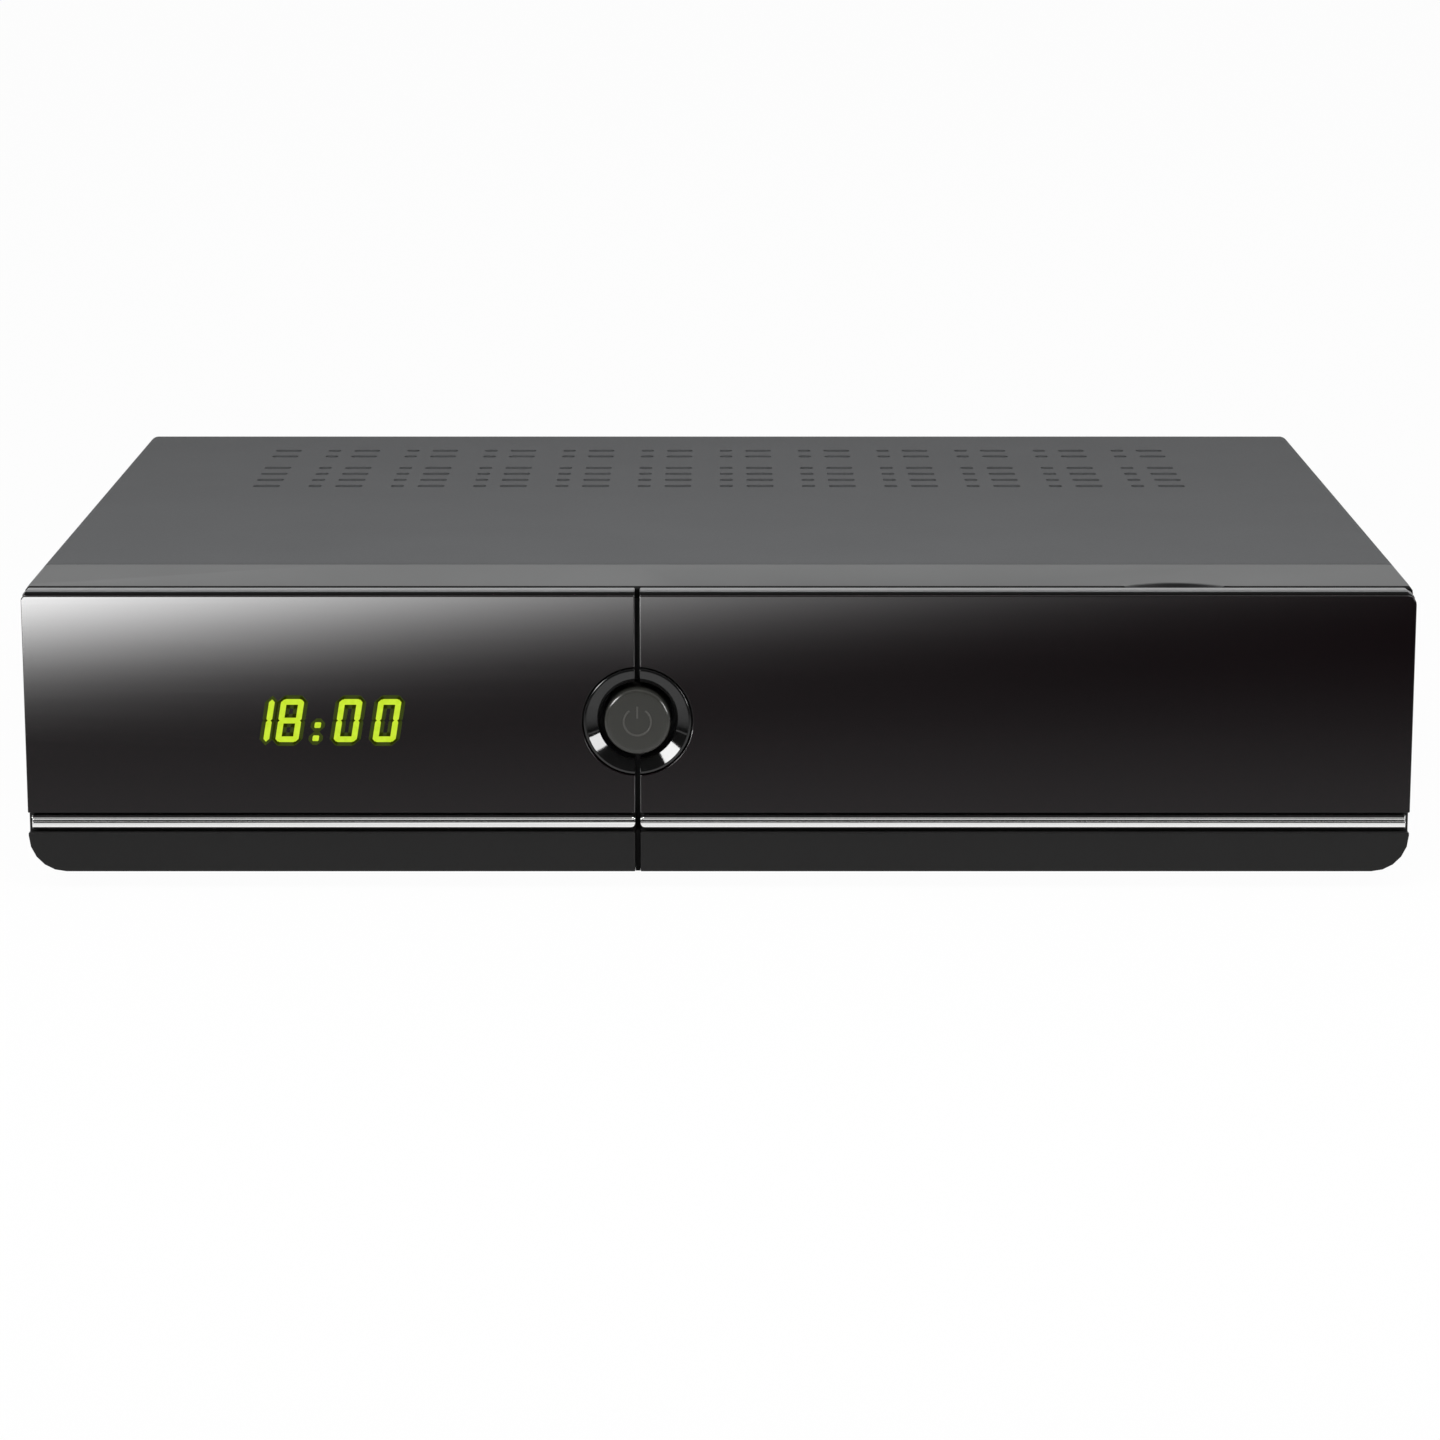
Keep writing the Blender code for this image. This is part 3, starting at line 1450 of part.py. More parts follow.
def make_harness():
    """Four wires in an arch from the power board to the main board, with a plug at each end."""
    whole = bmesh.new()
    start_z = on_board + harness_plug_height - bite
    for index in range(harness_wires):
        y = harness_y + (index - (harness_wires - 1) / 2) * harness_pitch
        points = []
        for step in range(harness_steps + 1):
            angle = math.pi * step / harness_steps
            middle = (harness_start_x + harness_end_x) / 2
            reach = (harness_end_x - harness_start_x) / 2
            points.append((middle - reach * math.cos(angle), y, start_z + harness_rise * math.sin(angle)))
        mesh = wire_mesh(points, wire_radius)
        whole.from_mesh(mesh)
        bpy.data.meshes.remove(mesh)
    mesh = bpy.data.meshes.new("power_harness")
    whole.to_mesh(mesh)
    whole.free()
    harness = bpy.data.objects.new("power_harness", mesh)
    parts.objects.link(harness)
    harness.data.materials.append(material("power_harness", grey_plastic))
    plug_y = around(harness_y, harness_wires * harness_pitch + 2 * harness_plug_margin)
    plug_z = (on_board, on_board + harness_plug_height)
    plugs = [
        box(around(x, harness_plug_length), plug_y, plug_z)
        for x in (harness_start_x, harness_end_x)
    ]
    join(harness, *plugs)


def make_ribbon():
    """The flat cable that hangs from the front board back to the main board, with its two plugs."""
    top_y = front_board_y[1] + gap
    plug_top = (top_y, top_y + ribbon_plug_depth)
    start = (plug_top[1] - bite, ribbon_top_z)
    end = (ribbon_end_y, on_board + ribbon_plug_height - bite)
    points = []
    for step in range(ribbon_steps + 1):
        angle = math.pi / 2 * step / ribbon_steps
        points.append(
            (
                start[0] + (end[0] - start[0]) * math.sin(angle),
                end[1] + (start[1] - end[1]) * math.cos(angle),
            )
        )
    mesh = bpy.data.meshes.new("ribbon_cable")
    bm = bmesh.new()
    low_x, high_x = around(ribbon_x, ribbon_width)
    near = [bm.verts.new((low_x, y, z)) for y, z in points]
    strip = [bm.edges.new(pair) for pair in zip(near, near[1:])]
    drawn = bmesh.ops.extrude_edge_only(bm, edges=strip)["geom"]
    far = [item for item in drawn if isinstance(item, bmesh.types.BMVert)]
    bmesh.ops.translate(bm, verts=far, vec=(high_x - low_x, 0, 0))
    bm.to_mesh(mesh)
    bm.free()
    ribbon = bpy.data.objects.new("ribbon_cable", mesh)
    parts.objects.link(ribbon)
    ribbon.data.materials.append(material("ribbon_cable", grey_plastic))
    body = ribbon.modifiers.new("body", "SOLIDIFY")
    body.thickness = ribbon_thickness
    body.offset = 0
    wide = around(ribbon_x, ribbon_width + 2 * ribbon_plug_margin)
    join(
        ribbon,
        box(wide, plug_top, around(ribbon_top_z, ribbon_plug_height)),
        box(wide, around(ribbon_end_y, ribbon_plug_depth), (on_board, on_board + ribbon_plug_height)),
    )


make_cover()
make_pan()
make_feet()
make_rear_panel()
make_bezel()
make_fascia()
door_objects = make_door()
make_catch()
power_button = make_button()
key_objects = [make_key(name, key_first_x + index * key_pitch) for index, name in enumerate(key_names)]
make_front_board()
make_front_sockets()
make_main_board()
make_tuner()
make_rear_sockets()
make_power_supply()
make_inlet()
make_power_switch()
make_harness()
make_ribbon()
make_cover_screws()

# Where the front face lies: the box runs from the button's face to the tips of the satellite sockets
deepest = panel_y[1] + f_length
front_y = -(deepest - button_proud) / 2

receiver = bpy.data.objects.new("receiver", None)
parts.objects.link(receiver)
receiver.location.y = front_y


def hang(objects, name, pivot):
    """Parent pieces to an empty on their joint's axis, where they stay in place."""
    empty = bpy.data.objects.new(name, None)
    parts.objects.link(empty)
    empty.parent = receiver
    empty.location = pivot
    for obj in objects:
        obj.parent = empty
        obj.location = [here - there for here, there in zip(obj.location, pivot)]


hang(door_objects, "door_hinge_axis", ((door_x[0] + door_x[1]) / 2, hinge_y, hinge_z))
hang([power_button], "power_button_axis", (seam_x, 0, button_z))
for number, pieces in enumerate(key_objects):
    hang(pieces, f"{key_names[number]}_axis", (key_first_x + number * key_pitch, wall_y[0], key_z))

for obj in [*parts.objects, *tools.objects]:
    if obj.parent is None and obj is not receiver:
        obj.parent = receiver
    if obj.type == "MESH" and obj.name not in tools.objects:
        obj.data.shade_smooth()
        obj.data.set_sharp_from_angle(angle=math.radians(35))
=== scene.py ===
# %% [markdown]
# # A satellite TV receiver, dressed for the camera
# The solids of the receiver come in as a fixed frame of named nodes. This lesson gives each of them
# a finish, and models the pieces again that need softer edges or finer detail than the solids have.
# We start by loading the frame.

import json
import math

import bpy
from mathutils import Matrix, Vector


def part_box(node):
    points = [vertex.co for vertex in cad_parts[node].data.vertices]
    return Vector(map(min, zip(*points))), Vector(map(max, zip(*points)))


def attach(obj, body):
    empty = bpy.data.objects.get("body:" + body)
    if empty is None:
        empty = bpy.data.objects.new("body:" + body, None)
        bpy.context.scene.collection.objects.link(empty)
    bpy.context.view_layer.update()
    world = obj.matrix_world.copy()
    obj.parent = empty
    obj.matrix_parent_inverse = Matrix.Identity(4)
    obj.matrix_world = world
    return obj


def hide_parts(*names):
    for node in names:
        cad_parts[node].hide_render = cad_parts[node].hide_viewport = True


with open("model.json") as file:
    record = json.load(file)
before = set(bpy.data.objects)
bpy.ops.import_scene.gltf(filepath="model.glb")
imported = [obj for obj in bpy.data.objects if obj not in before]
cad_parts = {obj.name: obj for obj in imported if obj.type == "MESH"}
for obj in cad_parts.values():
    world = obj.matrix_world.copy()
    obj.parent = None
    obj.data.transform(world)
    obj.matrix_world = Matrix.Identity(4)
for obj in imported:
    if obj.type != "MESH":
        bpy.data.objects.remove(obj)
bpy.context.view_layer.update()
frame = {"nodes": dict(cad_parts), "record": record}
mm = 0.001

# %% [markdown]
# Two places are used all through the lesson: the front plane of the gloss panel, and the seam where
# the flap door meets the fixed half. Both are read from the frame, so the pieces follow it.

# %% Read the main places
front_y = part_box("fascia_lens")[0][1]
seam_x = (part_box("fascia_lens")[1][0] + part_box("door_lens")[0][0]) / 2
button_z = (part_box("power_button")[0][2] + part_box("power_button")[1][2]) / 2
front_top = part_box("fascia_frame")[1][2]
print("front", front_y, "seam", seam_x, "button height", button_z)

# %% [markdown]
# ## Shader maths in plain Python
# A finish is a small network of nodes. Wiring them by hand is slow to read, so one class wraps a
# socket and overloads the operators: an expression such as `1 - mask * 0.5` adds its Math nodes.

# %% A socket that knows arithmetic
class Value:
    """A node's output with Python's operators."""

    def __init__(self, finish, socket):
        self.finish = finish
        self.socket = socket

    def math(self, operation, *others):
        return self.finish.node("Math", {"operation": operation}, dict(enumerate((self, *others))))

    def __add__(self, other):
        return self.math("ADD", other)

    def __sub__(self, other):
        return self.math("SUBTRACT", other)

    def __rsub__(self, other):
        return self.finish.node("Math", {"operation": "SUBTRACT"}, {0: other, 1: self})

    def __mul__(self, other):
        return self.math("MULTIPLY", other)

    def __truediv__(self, other):
        return self.math("DIVIDE", other)

    def __gt__(self, other):
        return self.math("GREATER_THAN", other)

    def __lt__(self, other):
        return self.math("LESS_THAN", other)

    def __abs__(self):
        return self.math("ABSOLUTE")

    __radd__ = __add__
    __rmul__ = __mul__


# %% [markdown]
# The second class is a whole finish: a material with its Principled shader. `node` makes any node
# from its type, its settings and what goes into its sockets. `grain` is noise measured in
# millimetres on the object itself, so that a pattern keeps its real scale on every piece.

# %% A finish and its nodes
class Finish:
    """A material built from expressions."""

    def __init__(self, name, colour, roughness, metallic=0, specular=0.5, coat=0):
        self.material = bpy.data.materials.new(name)
        self.material.use_nodes = True
        self.tree = self.material.node_tree
        self.shader = self.tree.nodes["Principled BSDF"]
        self.set("Base Color", (*colour, 1))
        self.set("Roughness", roughness)
        self.set("Metallic", metallic)
        self.set("Specular IOR Level", specular)
        self.set("Coat Weight", coat)
        self.colour = colour

    def put(self, socket, value):
        if isinstance(value, Value):
            self.tree.links.new(value.socket, socket)
        else:
            socket.default_value = value

    def set(self, name, value):
        self.put(self.shader.inputs[name], value)

    def node(self, kind, settings={}, inputs={}, output=0):
        made = self.tree.nodes.new("ShaderNode" + kind)
        for name, value in settings.items():
            if name == "stops":
                ramp = made.color_ramp.elements
                while len(ramp) < len(value):
                    ramp.new(1)
                for stop, (place, colour) in zip(ramp, value):
                    stop.position = place
                    stop.color = (*colour, 1)
            else:
                setattr(made, name, value)
        for name, value in inputs.items():
            self.put(made.inputs[name], value)
        return Value(self, made.outputs[output])

    def place(self, per_mm=(1, 1, 1)):
        """Object coordinates, in millimetres times the given stretch."""
        where = self.node("TexCoord", output="Object")
        scale = tuple(value / mm for value in per_mm)
        return self.node("VectorMath", {"operation": "MULTIPLY"}, {0: where, 1: scale})

    def axis(self, name):
        """One coordinate in millimetres."""
        return self.node("SeparateXYZ", {}, {0: self.place()}, output=name)

    def grain(self, size, detail=2, stretch=(1, 1, 1)):
        """Noise from 0 to 1 whose features are about `size` millimetres."""
        where = self.place(tuple(value / size for value in stretch))
        return self.node("TexNoise", {}, {"Vector": where, "Scale": 1, "Detail": detail})

    def ramp(self, value, *stops):
        return self.node("ValToRGB", {"stops": stops}, {0: value})

    def mix(self, mask, first, second):
        """Two colours, the second where the mask is 1."""
        first = first if isinstance(first, Value) else (*first, 1)
        second = second if isinstance(second, Value) else (*second, 1)
        return self.node("Mix", {"data_type": "RGBA"}, {0: mask, 6: first, 7: second}, output=2)

    def shade(self, value, spread):
        """The finish's own colour, darker and lighter by `spread` as the value goes from 0 to 1."""
        dark = tuple(channel * (1 - spread) for channel in self.colour)
        light = tuple(channel * (1 + spread) for channel in self.colour)
        return self.mix(value, dark, light)

    def bump(self, height, depth, normal=None):
        """Relief of `depth` millimetres from a height between 0 and 1."""
        inputs = {"Height": height, "Distance": depth * mm}
        if normal:
            inputs["Normal"] = normal
        return self.node("Bump", {}, inputs)


# %% [markdown]
# ## The camera
# The photograph looks down at the front by about twelve degrees through a long lens. The lens and
# the distance come from how fast the top of the case narrows towards the rear.

# %% Place the camera
camera = bpy.data.objects.new("camera", bpy.data.cameras.new("camera"))
bpy.context.scene.collection.objects.link(camera)
camera.data.lens = 109.95
camera.data.sensor_width = 36
camera.location = (0.00025, -1.0436, 0.2379)
camera.rotation_euler = (math.radians(77.84), 0, 0)
camera.data.clip_end = 50
bpy.context.scene.camera = camera
bpy.context.scene.view_settings.view_transform = "Standard"
print("camera distance to the front", front_y - camera.location.y)

# %% [markdown]
# ## The floor and the backdrop
# A product photograph has a white ground without a horizon. A wide plane does it: rays from the
# camera, mirrors and glass see it nearly white, and part of its own shading stays, so that the
# receiver keeps its soft shadow. The same trick whitens the world around it.

# %% Lay the floor
def seen_directly(finish):
    """1 for rays that look at a background: camera, mirror and glass rays."""
    names = ("Is Camera Ray", "Is Glossy Ray", "Is Transmission Ray")
    rays = [finish.node("LightPath", output=name) for name in names]
    return rays[0].math("MAXIMUM", rays[1]).math("MAXIMUM", rays[2])


def plane(name, size, location, rotation=(0, 0, 0)):
    bpy.ops.object.select_all(action="DESELECT")
    bpy.ops.mesh.primitive_plane_add(size=size, location=location, rotation=rotation)
    bpy.context.object.name = name
    return bpy.context.object


floor = plane("floor", 14, (0, 0, 0))
paper = Finish("white_paper", (0.93, 0.93, 0.93), 0.9, specular=0.1)
glow = paper.node("Emission", {}, {"Color": (1, 1, 1, 1), "Strength": 1})
shaded = Value(paper, paper.shader.outputs[0])
white = paper.node("MixShader", {}, {0: seen_directly(paper) * 0.97, 1: shaded, 2: glow})
paper.tree.links.new(white.socket, paper.tree.nodes["Material Output"].inputs["Surface"])
floor.data.materials.append(paper.material)


class Sky(Finish):
    """The world, with the same way of making nodes."""

    def __init__(self, world):
        world.use_nodes = True
        self.tree = world.node_tree
        self.shader = self.tree.nodes["Background"]


world = bpy.data.worlds.new("studio")
bpy.context.scene.world = world
sky = Sky(world)
sky.set("Color", (1, 1, 1, 1))
ambient = 0.22
sky.set("Strength", seen_directly(sky) * (1 - ambient) + ambient)
print("floor and world ready")

# %% [markdown]
# ## The lamps
# Gloss shows whatever stands in front of it. A dark flag behind the camera keeps the black plastic
# black, and soft lamps that mirrors don't see give the case its level. Two bright cards, which only
# mirrors see, give the funnel of the power button its two highlights.

# %% Hang the flag and the lamps
flag = plane("flag", 4.4, (0, -2.2, 2.24), (math.radians(90), 0, 0))
flag.scale = (2.4, 1, 1)
bpy.ops.object.transform_apply(location=True, rotation=True, scale=True)
felt = Finish("black_felt", (0.004, 0.004, 0.004), 1, specular=0)
flag.data.materials.append(felt.material)
flag.visible_camera = False
flag.visible_diffuse = False
flag.visible_shadow = False
flag.visible_transmission = False


def lamp(name, power, width, height, location, target):
    light = bpy.data.lights.new(name, "AREA")
    light.shape = "RECTANGLE"
    light.size = width
    light.size_y = height
    light.energy = power
    obj = bpy.data.objects.new(name, light)
    bpy.context.scene.collection.objects.link(obj)
    obj.location = location
    obj.rotation_euler = (Vector(target) - Vector(location)).to_track_quat("-Z", "Y").to_euler()
    obj.visible_camera = False
    return obj


middle = (0, 0, 0.035)
soft_lamps = [
    lamp("overhead_box", 2.6, 0.9, 0.25, (0, -0.38, 0.46), (0, -0.02, 0.06)),
    lamp("left_box", 2.2, 0.2, 0.2, (-0.85, -0.95, 0.85), middle),
    lamp("right_box", 2.2, 0.2, 0.2, (0.85, -0.95, 0.85), middle),
]
for soft_lamp in soft_lamps:
    soft_lamp.visible_glossy = False
lamp("rear_box", 1.2, 1.4, 0.9, (0.3, 1.5, 1.0), middle)
button_middle = (seam_x, front_y, button_z)
for name, power, width, height, location in (
    ("left_card", 9, 0.38, 0.34, (-0.77, -0.95, 0.47)),
    ("right_card", 6, 0.24, 0.42, (0.88, -0.95, 0.30)),
):
    mirror_card = lamp(name, power, width, height, location, button_middle)
    mirror_card.visible_diffuse = False

# %% [markdown]
# The panel's long glow at the upper left is the reflection of a bright card that lies on the floor
# in front, out of view. It is a lamp whose strength falls off to both sides and in depth like a
# bell curve, and it is linked to the panel alone, so that nothing else is lit from below.

# %% Lay the bright card
card_x, card_reach = -0.43, 0.394
card_width, card_depth = 1.3, 0.5
card_y = front_y - card_reach
card = lamp("panel_card", 206, card_width, card_depth, (card_x, card_y, 0.003), (card_x, card_y, 1))
card.data.use_nodes = True
card.visible_diffuse = False


class Glow(Finish):
    """A lamp's own nodes."""

    def __init__(self, light):
        self.tree = light.node_tree
        self.shader = self.tree.nodes["Emission"]


gel = Glow(card.data)
place = gel.node("NewGeometry", output="Position")
away = gel.node("SeparateXYZ", {}, {0: place}, output="Y") * -1 + front_y
across = (gel.node("SeparateXYZ", {}, {0: place}, output="X") - card_x) / (away * 0.413 + 0.04)
along = (away - card_reach) / 0.110
gel.set("Strength", ((across * across + along * along) * -0.5).math("EXPONENT"))
panel_pieces = bpy.data.collections.new("panel_pieces")
card.light_linking.receiver_collection = panel_pieces

# %% [markdown]
# The rest of the panel shows the floor: light at its foot, and darker higher up, where it mirrors
# the floor further away. A dark sheet lies there, seen by mirror rays alone, and clear near the
# receiver: how much it lets through falls off with the distance from the front.

# %% Lay the dark sheet
sheet_depth = 1.4
dark_sheet = plane("dark_sheet", 1, (0, front_y - sheet_depth / 2 - 0.05, 0.001))
dark_sheet.scale = (1.4, sheet_depth, 1)
for vertex in dark_sheet.data.vertices:
    vertex.co.x *= 2 if vertex.co.y < 0 else 1
bpy.ops.object.transform_apply(location=True, rotation=True, scale=True)
shade = Finish("dark_sheet", (0, 0, 0), 1, specular=0)
reach = (shade.axis("Y") * -1 + front_y / mm) / 170
clear = (reach * reach * -1).math("EXPONENT")
black = shade.node("Emission", {}, {"Color": (0, 0, 0, 1)})
see_through = shade.node("BsdfTransparent")
mixed = shade.node("MixShader", {}, {0: clear, 1: black, 2: see_through})
shade.tree.links.new(mixed.socket, shade.tree.nodes["Material Output"].inputs["Surface"])
dark_sheet.data.materials.append(shade.material)
for sheet_ray in ("camera", "diffuse", "shadow", "transmission"):
    setattr(dark_sheet, "visible_" + sheet_ray, False)

# %% [markdown]
# ## Pieces that follow the solids
# Most moulded and folded pieces already have the right shape as solids, but their edges are sharp,
# and a real edge catches light. We copy such a node, merge its loose triangles into whole faces,
# and bevel the edges by a fraction of a millimetre. Weighted normals keep the flat faces flat.

# %% Copy a node and soften its edges
def deselect():
    bpy.ops.object.select_all(action="DESELECT")


def activate(piece):
    deselect()
    piece.select_set(True)
    bpy.context.view_layer.objects.active = piece


def edit(piece, action="SELECT"):
    activate(piece)
    bpy.ops.object.mode_set(mode="EDIT")
    bpy.ops.mesh.select_all(action=action)


def leave_edit():
    bpy.ops.object.mode_set(mode="OBJECT")


def select_edges(piece, wanted):
    """Selects, in edit mode, the edges whose two ends satisfy the rule."""
    bpy.ops.mesh.select_mode(type="EDGE")
    bpy.ops.mesh.select_all(action="DESELECT")
    leave_edit()
    points = [vertex.co.copy() for vertex in piece.data.vertices]
    for edge in piece.data.edges:
        first, second = (points[index] for index in edge.vertices)
        edge.select = wanted(first, second)
    bpy.ops.object.mode_set(mode="EDIT")


def select_faces(piece, wanted):
    """Selects, in edit mode, the faces whose centre and normal satisfy the rule."""
    bpy.ops.mesh.select_mode(type="FACE")
    bpy.ops.mesh.select_all(action="DESELECT")
    leave_edit()
    for face in piece.data.polygons:
        face.select = wanted(face.center, face.normal)
    bpy.ops.object.mode_set(mode="EDIT")


def modify(piece, kind, **settings):
    """Adds a modifier and applies it."""
    activate(piece)
    modifier = piece.modifiers.new(kind.lower(), kind)
    for name, value in settings.items():
        setattr(modifier, name, value)
    bpy.ops.object.modifier_apply(modifier=modifier.name)


def smooth(piece, angle=40):
    activate(piece)
    bpy.ops.object.shade_smooth_by_angle(angle=math.radians(angle))
    modify(piece, "WEIGHTED_NORMAL", keep_sharp=True)


def bisect(piece, place, axis):
    """Cuts the faces along a plane across one axis; nothing is removed."""
    normal = [0, 0, 0]
    normal[axis] = 1
    edit(piece)
    bpy.ops.mesh.bisect(plane_co=place, plane_no=normal)
    leave_edit()


def middle_of(node):
    low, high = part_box(node)
    return [(first + last) / 2 for first, last in zip(low, high)]


def soften(piece, width, segments=2, angle=35):
    modify(
        piece, "BEVEL", width=width, segments=segments, limit_method="ANGLE",
        angle_limit=math.radians(angle), use_clamp_overlap=False, miter_outer="MITER_ARC",
    )
    smooth(piece)


def copy_of(node, name):
    """A whole-faced copy of a CAD node."""
    deselect()
    source = frame["nodes"][node]
    piece = bpy.data.objects.new(name, source.data.copy())
    bpy.context.scene.collection.objects.link(piece)
    piece.data.materials.clear()
    edit(piece)
    bpy.ops.mesh.customdata_custom_splitnormals_clear()
    bpy.ops.mesh.remove_doubles(threshold=0.000002)
    bpy.ops.mesh.dissolve_limited(angle_limit=math.radians(0.4))
    leave_edit()
    return piece


record = frame["record"]
slot_of = {row["node"]: row["material_slot"] for row in record["subparts"]}
body_of = {node: body for body, nodes in record["behaviour"]["bodies"].items() for node in nodes}


def stand_in(piece, *nodes):
    """The piece takes the place and the body of its nodes."""
    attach(piece, body_of[nodes[0]])
    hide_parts(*nodes)
    print(piece.name, "stands for", nodes, "with", len(piece.data.polygons), "faces")


def wear(piece, finish):
    piece.data.materials.append(finish.material)

# %% [markdown]
# ## Finishes of the case
# The folded cover has a fine textured paint: small bumps and a slight mottle. The frame behind the
# panel is smooth satin plastic. None of them is one flat colour, but the variation stays small, as
# on a new receiver.

# %% Paint and plastics
def textured_paint():
    paint = Finish("textured_paint", (0.101, 0.103, 0.106), 0.6, specular=0.03)
    fine = paint.grain(0.55, 3)
    broad = paint.grain(35, 2)
    paint.set("Base Color", paint.shade(fine * 0.55 + broad * 0.45, 0.16))
    paint.set("Roughness", fine * 0.2 + 0.5)
    paint.set("Normal", paint.bump(fine, 0.05))
    return paint


def moulded(name, colour, roughness, texture=0.4, depth=0.012, spread=0.08, specular=0.4):
    """Moulded plastic with a fine spark-eroded skin."""
    plastic = Finish(name, colour, roughness, specular=specular)
    skin = plastic.grain(texture, 2)
    flow = plastic.grain(28, 3)
    plastic.set("Base Color", plastic.shade(skin * 0.4 + flow * 0.6, spread))
    plastic.set("Roughness", flow * 0.12 + skin * 0.06 + (roughness - 0.08))
    plastic.set("Normal", plastic.bump(skin, depth))
    return plastic


paint = textured_paint()
bezel_plastic = moulded("bezel_plastic", (0.104, 0.106, 0.106), 0.42, texture=0.3, depth=0.006, specular=0.08)
band_black = (0.0135, 0.0133, 0.0132)
band_plastic = moulded("band_plastic", band_black, 0.36, texture=0.25, depth=0.004, specular=0.16)
# The lip is the band's plastic; its paler colour is painted light from above.
painted_lit_lip = moulded("painted_lit_lip", (0.2, 0.203, 0.205), 0.35, texture=0.25, depth=0.004, specular=0.15)
cap_plastic = moulded("cap_plastic", (0.036, 0.036, 0.032), 0.3, texture=0.2, depth=0.001, spread=0.04)
cap_edge = moulded("cap_edge", (0.036, 0.036, 0.032), 0.14, texture=0.2, depth=0.0005, spread=0.04)
sign_plastic = moulded("sign_plastic", (0.075, 0.073, 0.067), 0.3, texture=0.2, depth=0.001, spread=0.04)
black_plastic = moulded("black_plastic", (0.016, 0.016, 0.017), 0.45)
# A near-black that paints shadow into the seam and into the front strip of the ledge.
painted_shadow_black = moulded("painted_shadow_black", (0.004, 0.004, 0.004), 0.7, specular=0.02)
grey_plastic = moulded("grey_plastic", (0.42, 0.42, 0.41), 0.5)
rubber = moulded("rubber", (0.022, 0.022, 0.022), 0.8, texture=0.9, depth=0.05, specular=0.2)

# %% [markdown]
# The gloss panel is nearly black, faintly brown, and carries a very fine horizontal brushing under
# its skin: noise stretched a hundred times along x drives its roughness, its relief and a little of
# its colour. Its mirror strength is low, which keeps it darker than the funnel of the button.

# %% Gloss black, chrome and metals
def panel_gloss():
    gloss = Finish("panel_gloss", (0.0022, 0.0009, 0.0013), 0.1, specular=0.3)
    lines = gloss.grain(0.35, 3, stretch=(0.008, 1, 1))
    clouds = gloss.grain(30, 2, stretch=(0.4, 1, 1))
    gloss.set("Base Color", gloss.shade(lines * 0.5 + clouds * 0.5, 0.35))
    gloss.set("Roughness", lines * 0.03 + clouds * 0.02 + 0.07)
    gloss.set("Normal", gloss.bump(lines, 0.0006))
    return gloss


def metal(name, colour, roughness, lines=(1, 1, 1), size=1.5, spread=0.1, depth=0.003):
    """Metal whose grain may run along one axis."""
    sheet = Finish(name, colour, roughness, metallic=1)
    grain = sheet.grain(size, 3, stretch=lines)
    cloud = sheet.grain(20, 3)
    sheet.set("Base Color", sheet.shade(grain * 0.5 + cloud * 0.5, spread))
    sheet.set("Roughness", grain * 0.14 + cloud * 0.16 + (roughness - 0.15))
    sheet.set("Normal", sheet.bump(grain, depth))
    return sheet


panel_gloss_finish = panel_gloss()
chrome = Finish("bright_trim", (0.88, 0.88, 0.875), 0.12, metallic=1)
chrome_cloud = chrome.grain(24, 2)
chrome.set("Base Color", chrome.shade(chrome_cloud, 0.03))
chrome.set("Roughness", chrome_cloud * 0.06 + 0.09)
# A grey that paints a highlight on the rounded seam edges of the panel.
painted_seam_highlight = moulded("painted_seam_highlight", (0.09, 0.088, 0.088), 0.3, texture=0.2, depth=0.001, specular=0.3)
ring_gloss = Finish("ring_gloss", (0.006, 0.006, 0.006), 0.06, specular=0.5)
ring_gloss.set("Roughness", ring_gloss.grain(3, 3) * 0.05 + 0.03)
ring_gloss.set("Base Color", ring_gloss.shade(ring_gloss.grain(8), 0.2))
zinc = metal("zinc_sheet", (0.40, 0.41, 0.42), 0.42, size=6, spread=0.09)
tin = metal("tinned_shell", (0.5, 0.5, 0.48), 0.36, size=2.5)
aluminium = metal("aluminium", (0.8, 0.8, 0.81), 0.4, lines=(1, 0.03, 1), size=0.5)
screw_steel = metal("screw_steel", (0.3, 0.3, 0.31), 0.38, size=0.8)
print("finishes", len(bpy.data.materials))

# %% [markdown]
# ## The folded cover
# The cover is one sheet, folded down at both sides and at the rear. A cube at the size of the cover
# loses its bottom, front and rear faces, its long top edges are bevelled into bends, its rear edge
# is extruded down as the lip, and Solidify gives the sheet its thickness. Bisections near the
# borders keep the shading of the large faces apart from that of the bends and the holes.

# %% Make plain boxes
def box_at(low, high):
    """A plain box between two corners."""
    deselect()
    middle = [(first + last) / 2 for first, last in zip(low, high)]
    bpy.ops.mesh.primitive_cube_add(size=1, location=middle)
    piece = bpy.context.object
    piece.scale = [last - first for first, last in zip(low, high)]
    bpy.ops.object.transform_apply(location=True, rotation=False, scale=True)
    return piece


def box_round(middle, size):
    """A plain box around a point."""
    low = [place - side / 2 for place, side in zip(middle, size)]
    high = [place + side / 2 for place, side in zip(middle, size)]
    return box_at(low, high)


# %% Fold the sheet
near = 0.01 * mm
sheet, bend, lip_height = 0.8 * mm, 2.4 * mm, 9 * mm
cover_low, cover_high = (Vector(corner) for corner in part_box("top_cover"))
cover = box_at(cover_low, cover_high)
cover.name = "folded_cover"
edit(cover, "DESELECT")
select_faces(cover, lambda middle, normal: normal.z < -0.9 or abs(normal.y) > 0.9)
bpy.ops.mesh.delete(type="ONLY_FACE")
select_edges(
    cover,
    lambda first, second: min(first.z, second.z) > cover_high.z - mm and abs(first.y - second.y) > mm,
)
bpy.ops.mesh.bevel(offset=bend, segments=8, affect="EDGES")
select_edges(
    cover,
    lambda first, second: min(first.z, second.z) > cover_high.z - near
    and min(first.y, second.y) > cover_high.y - mm and abs(first.x - second.x) > 100 * mm,
)
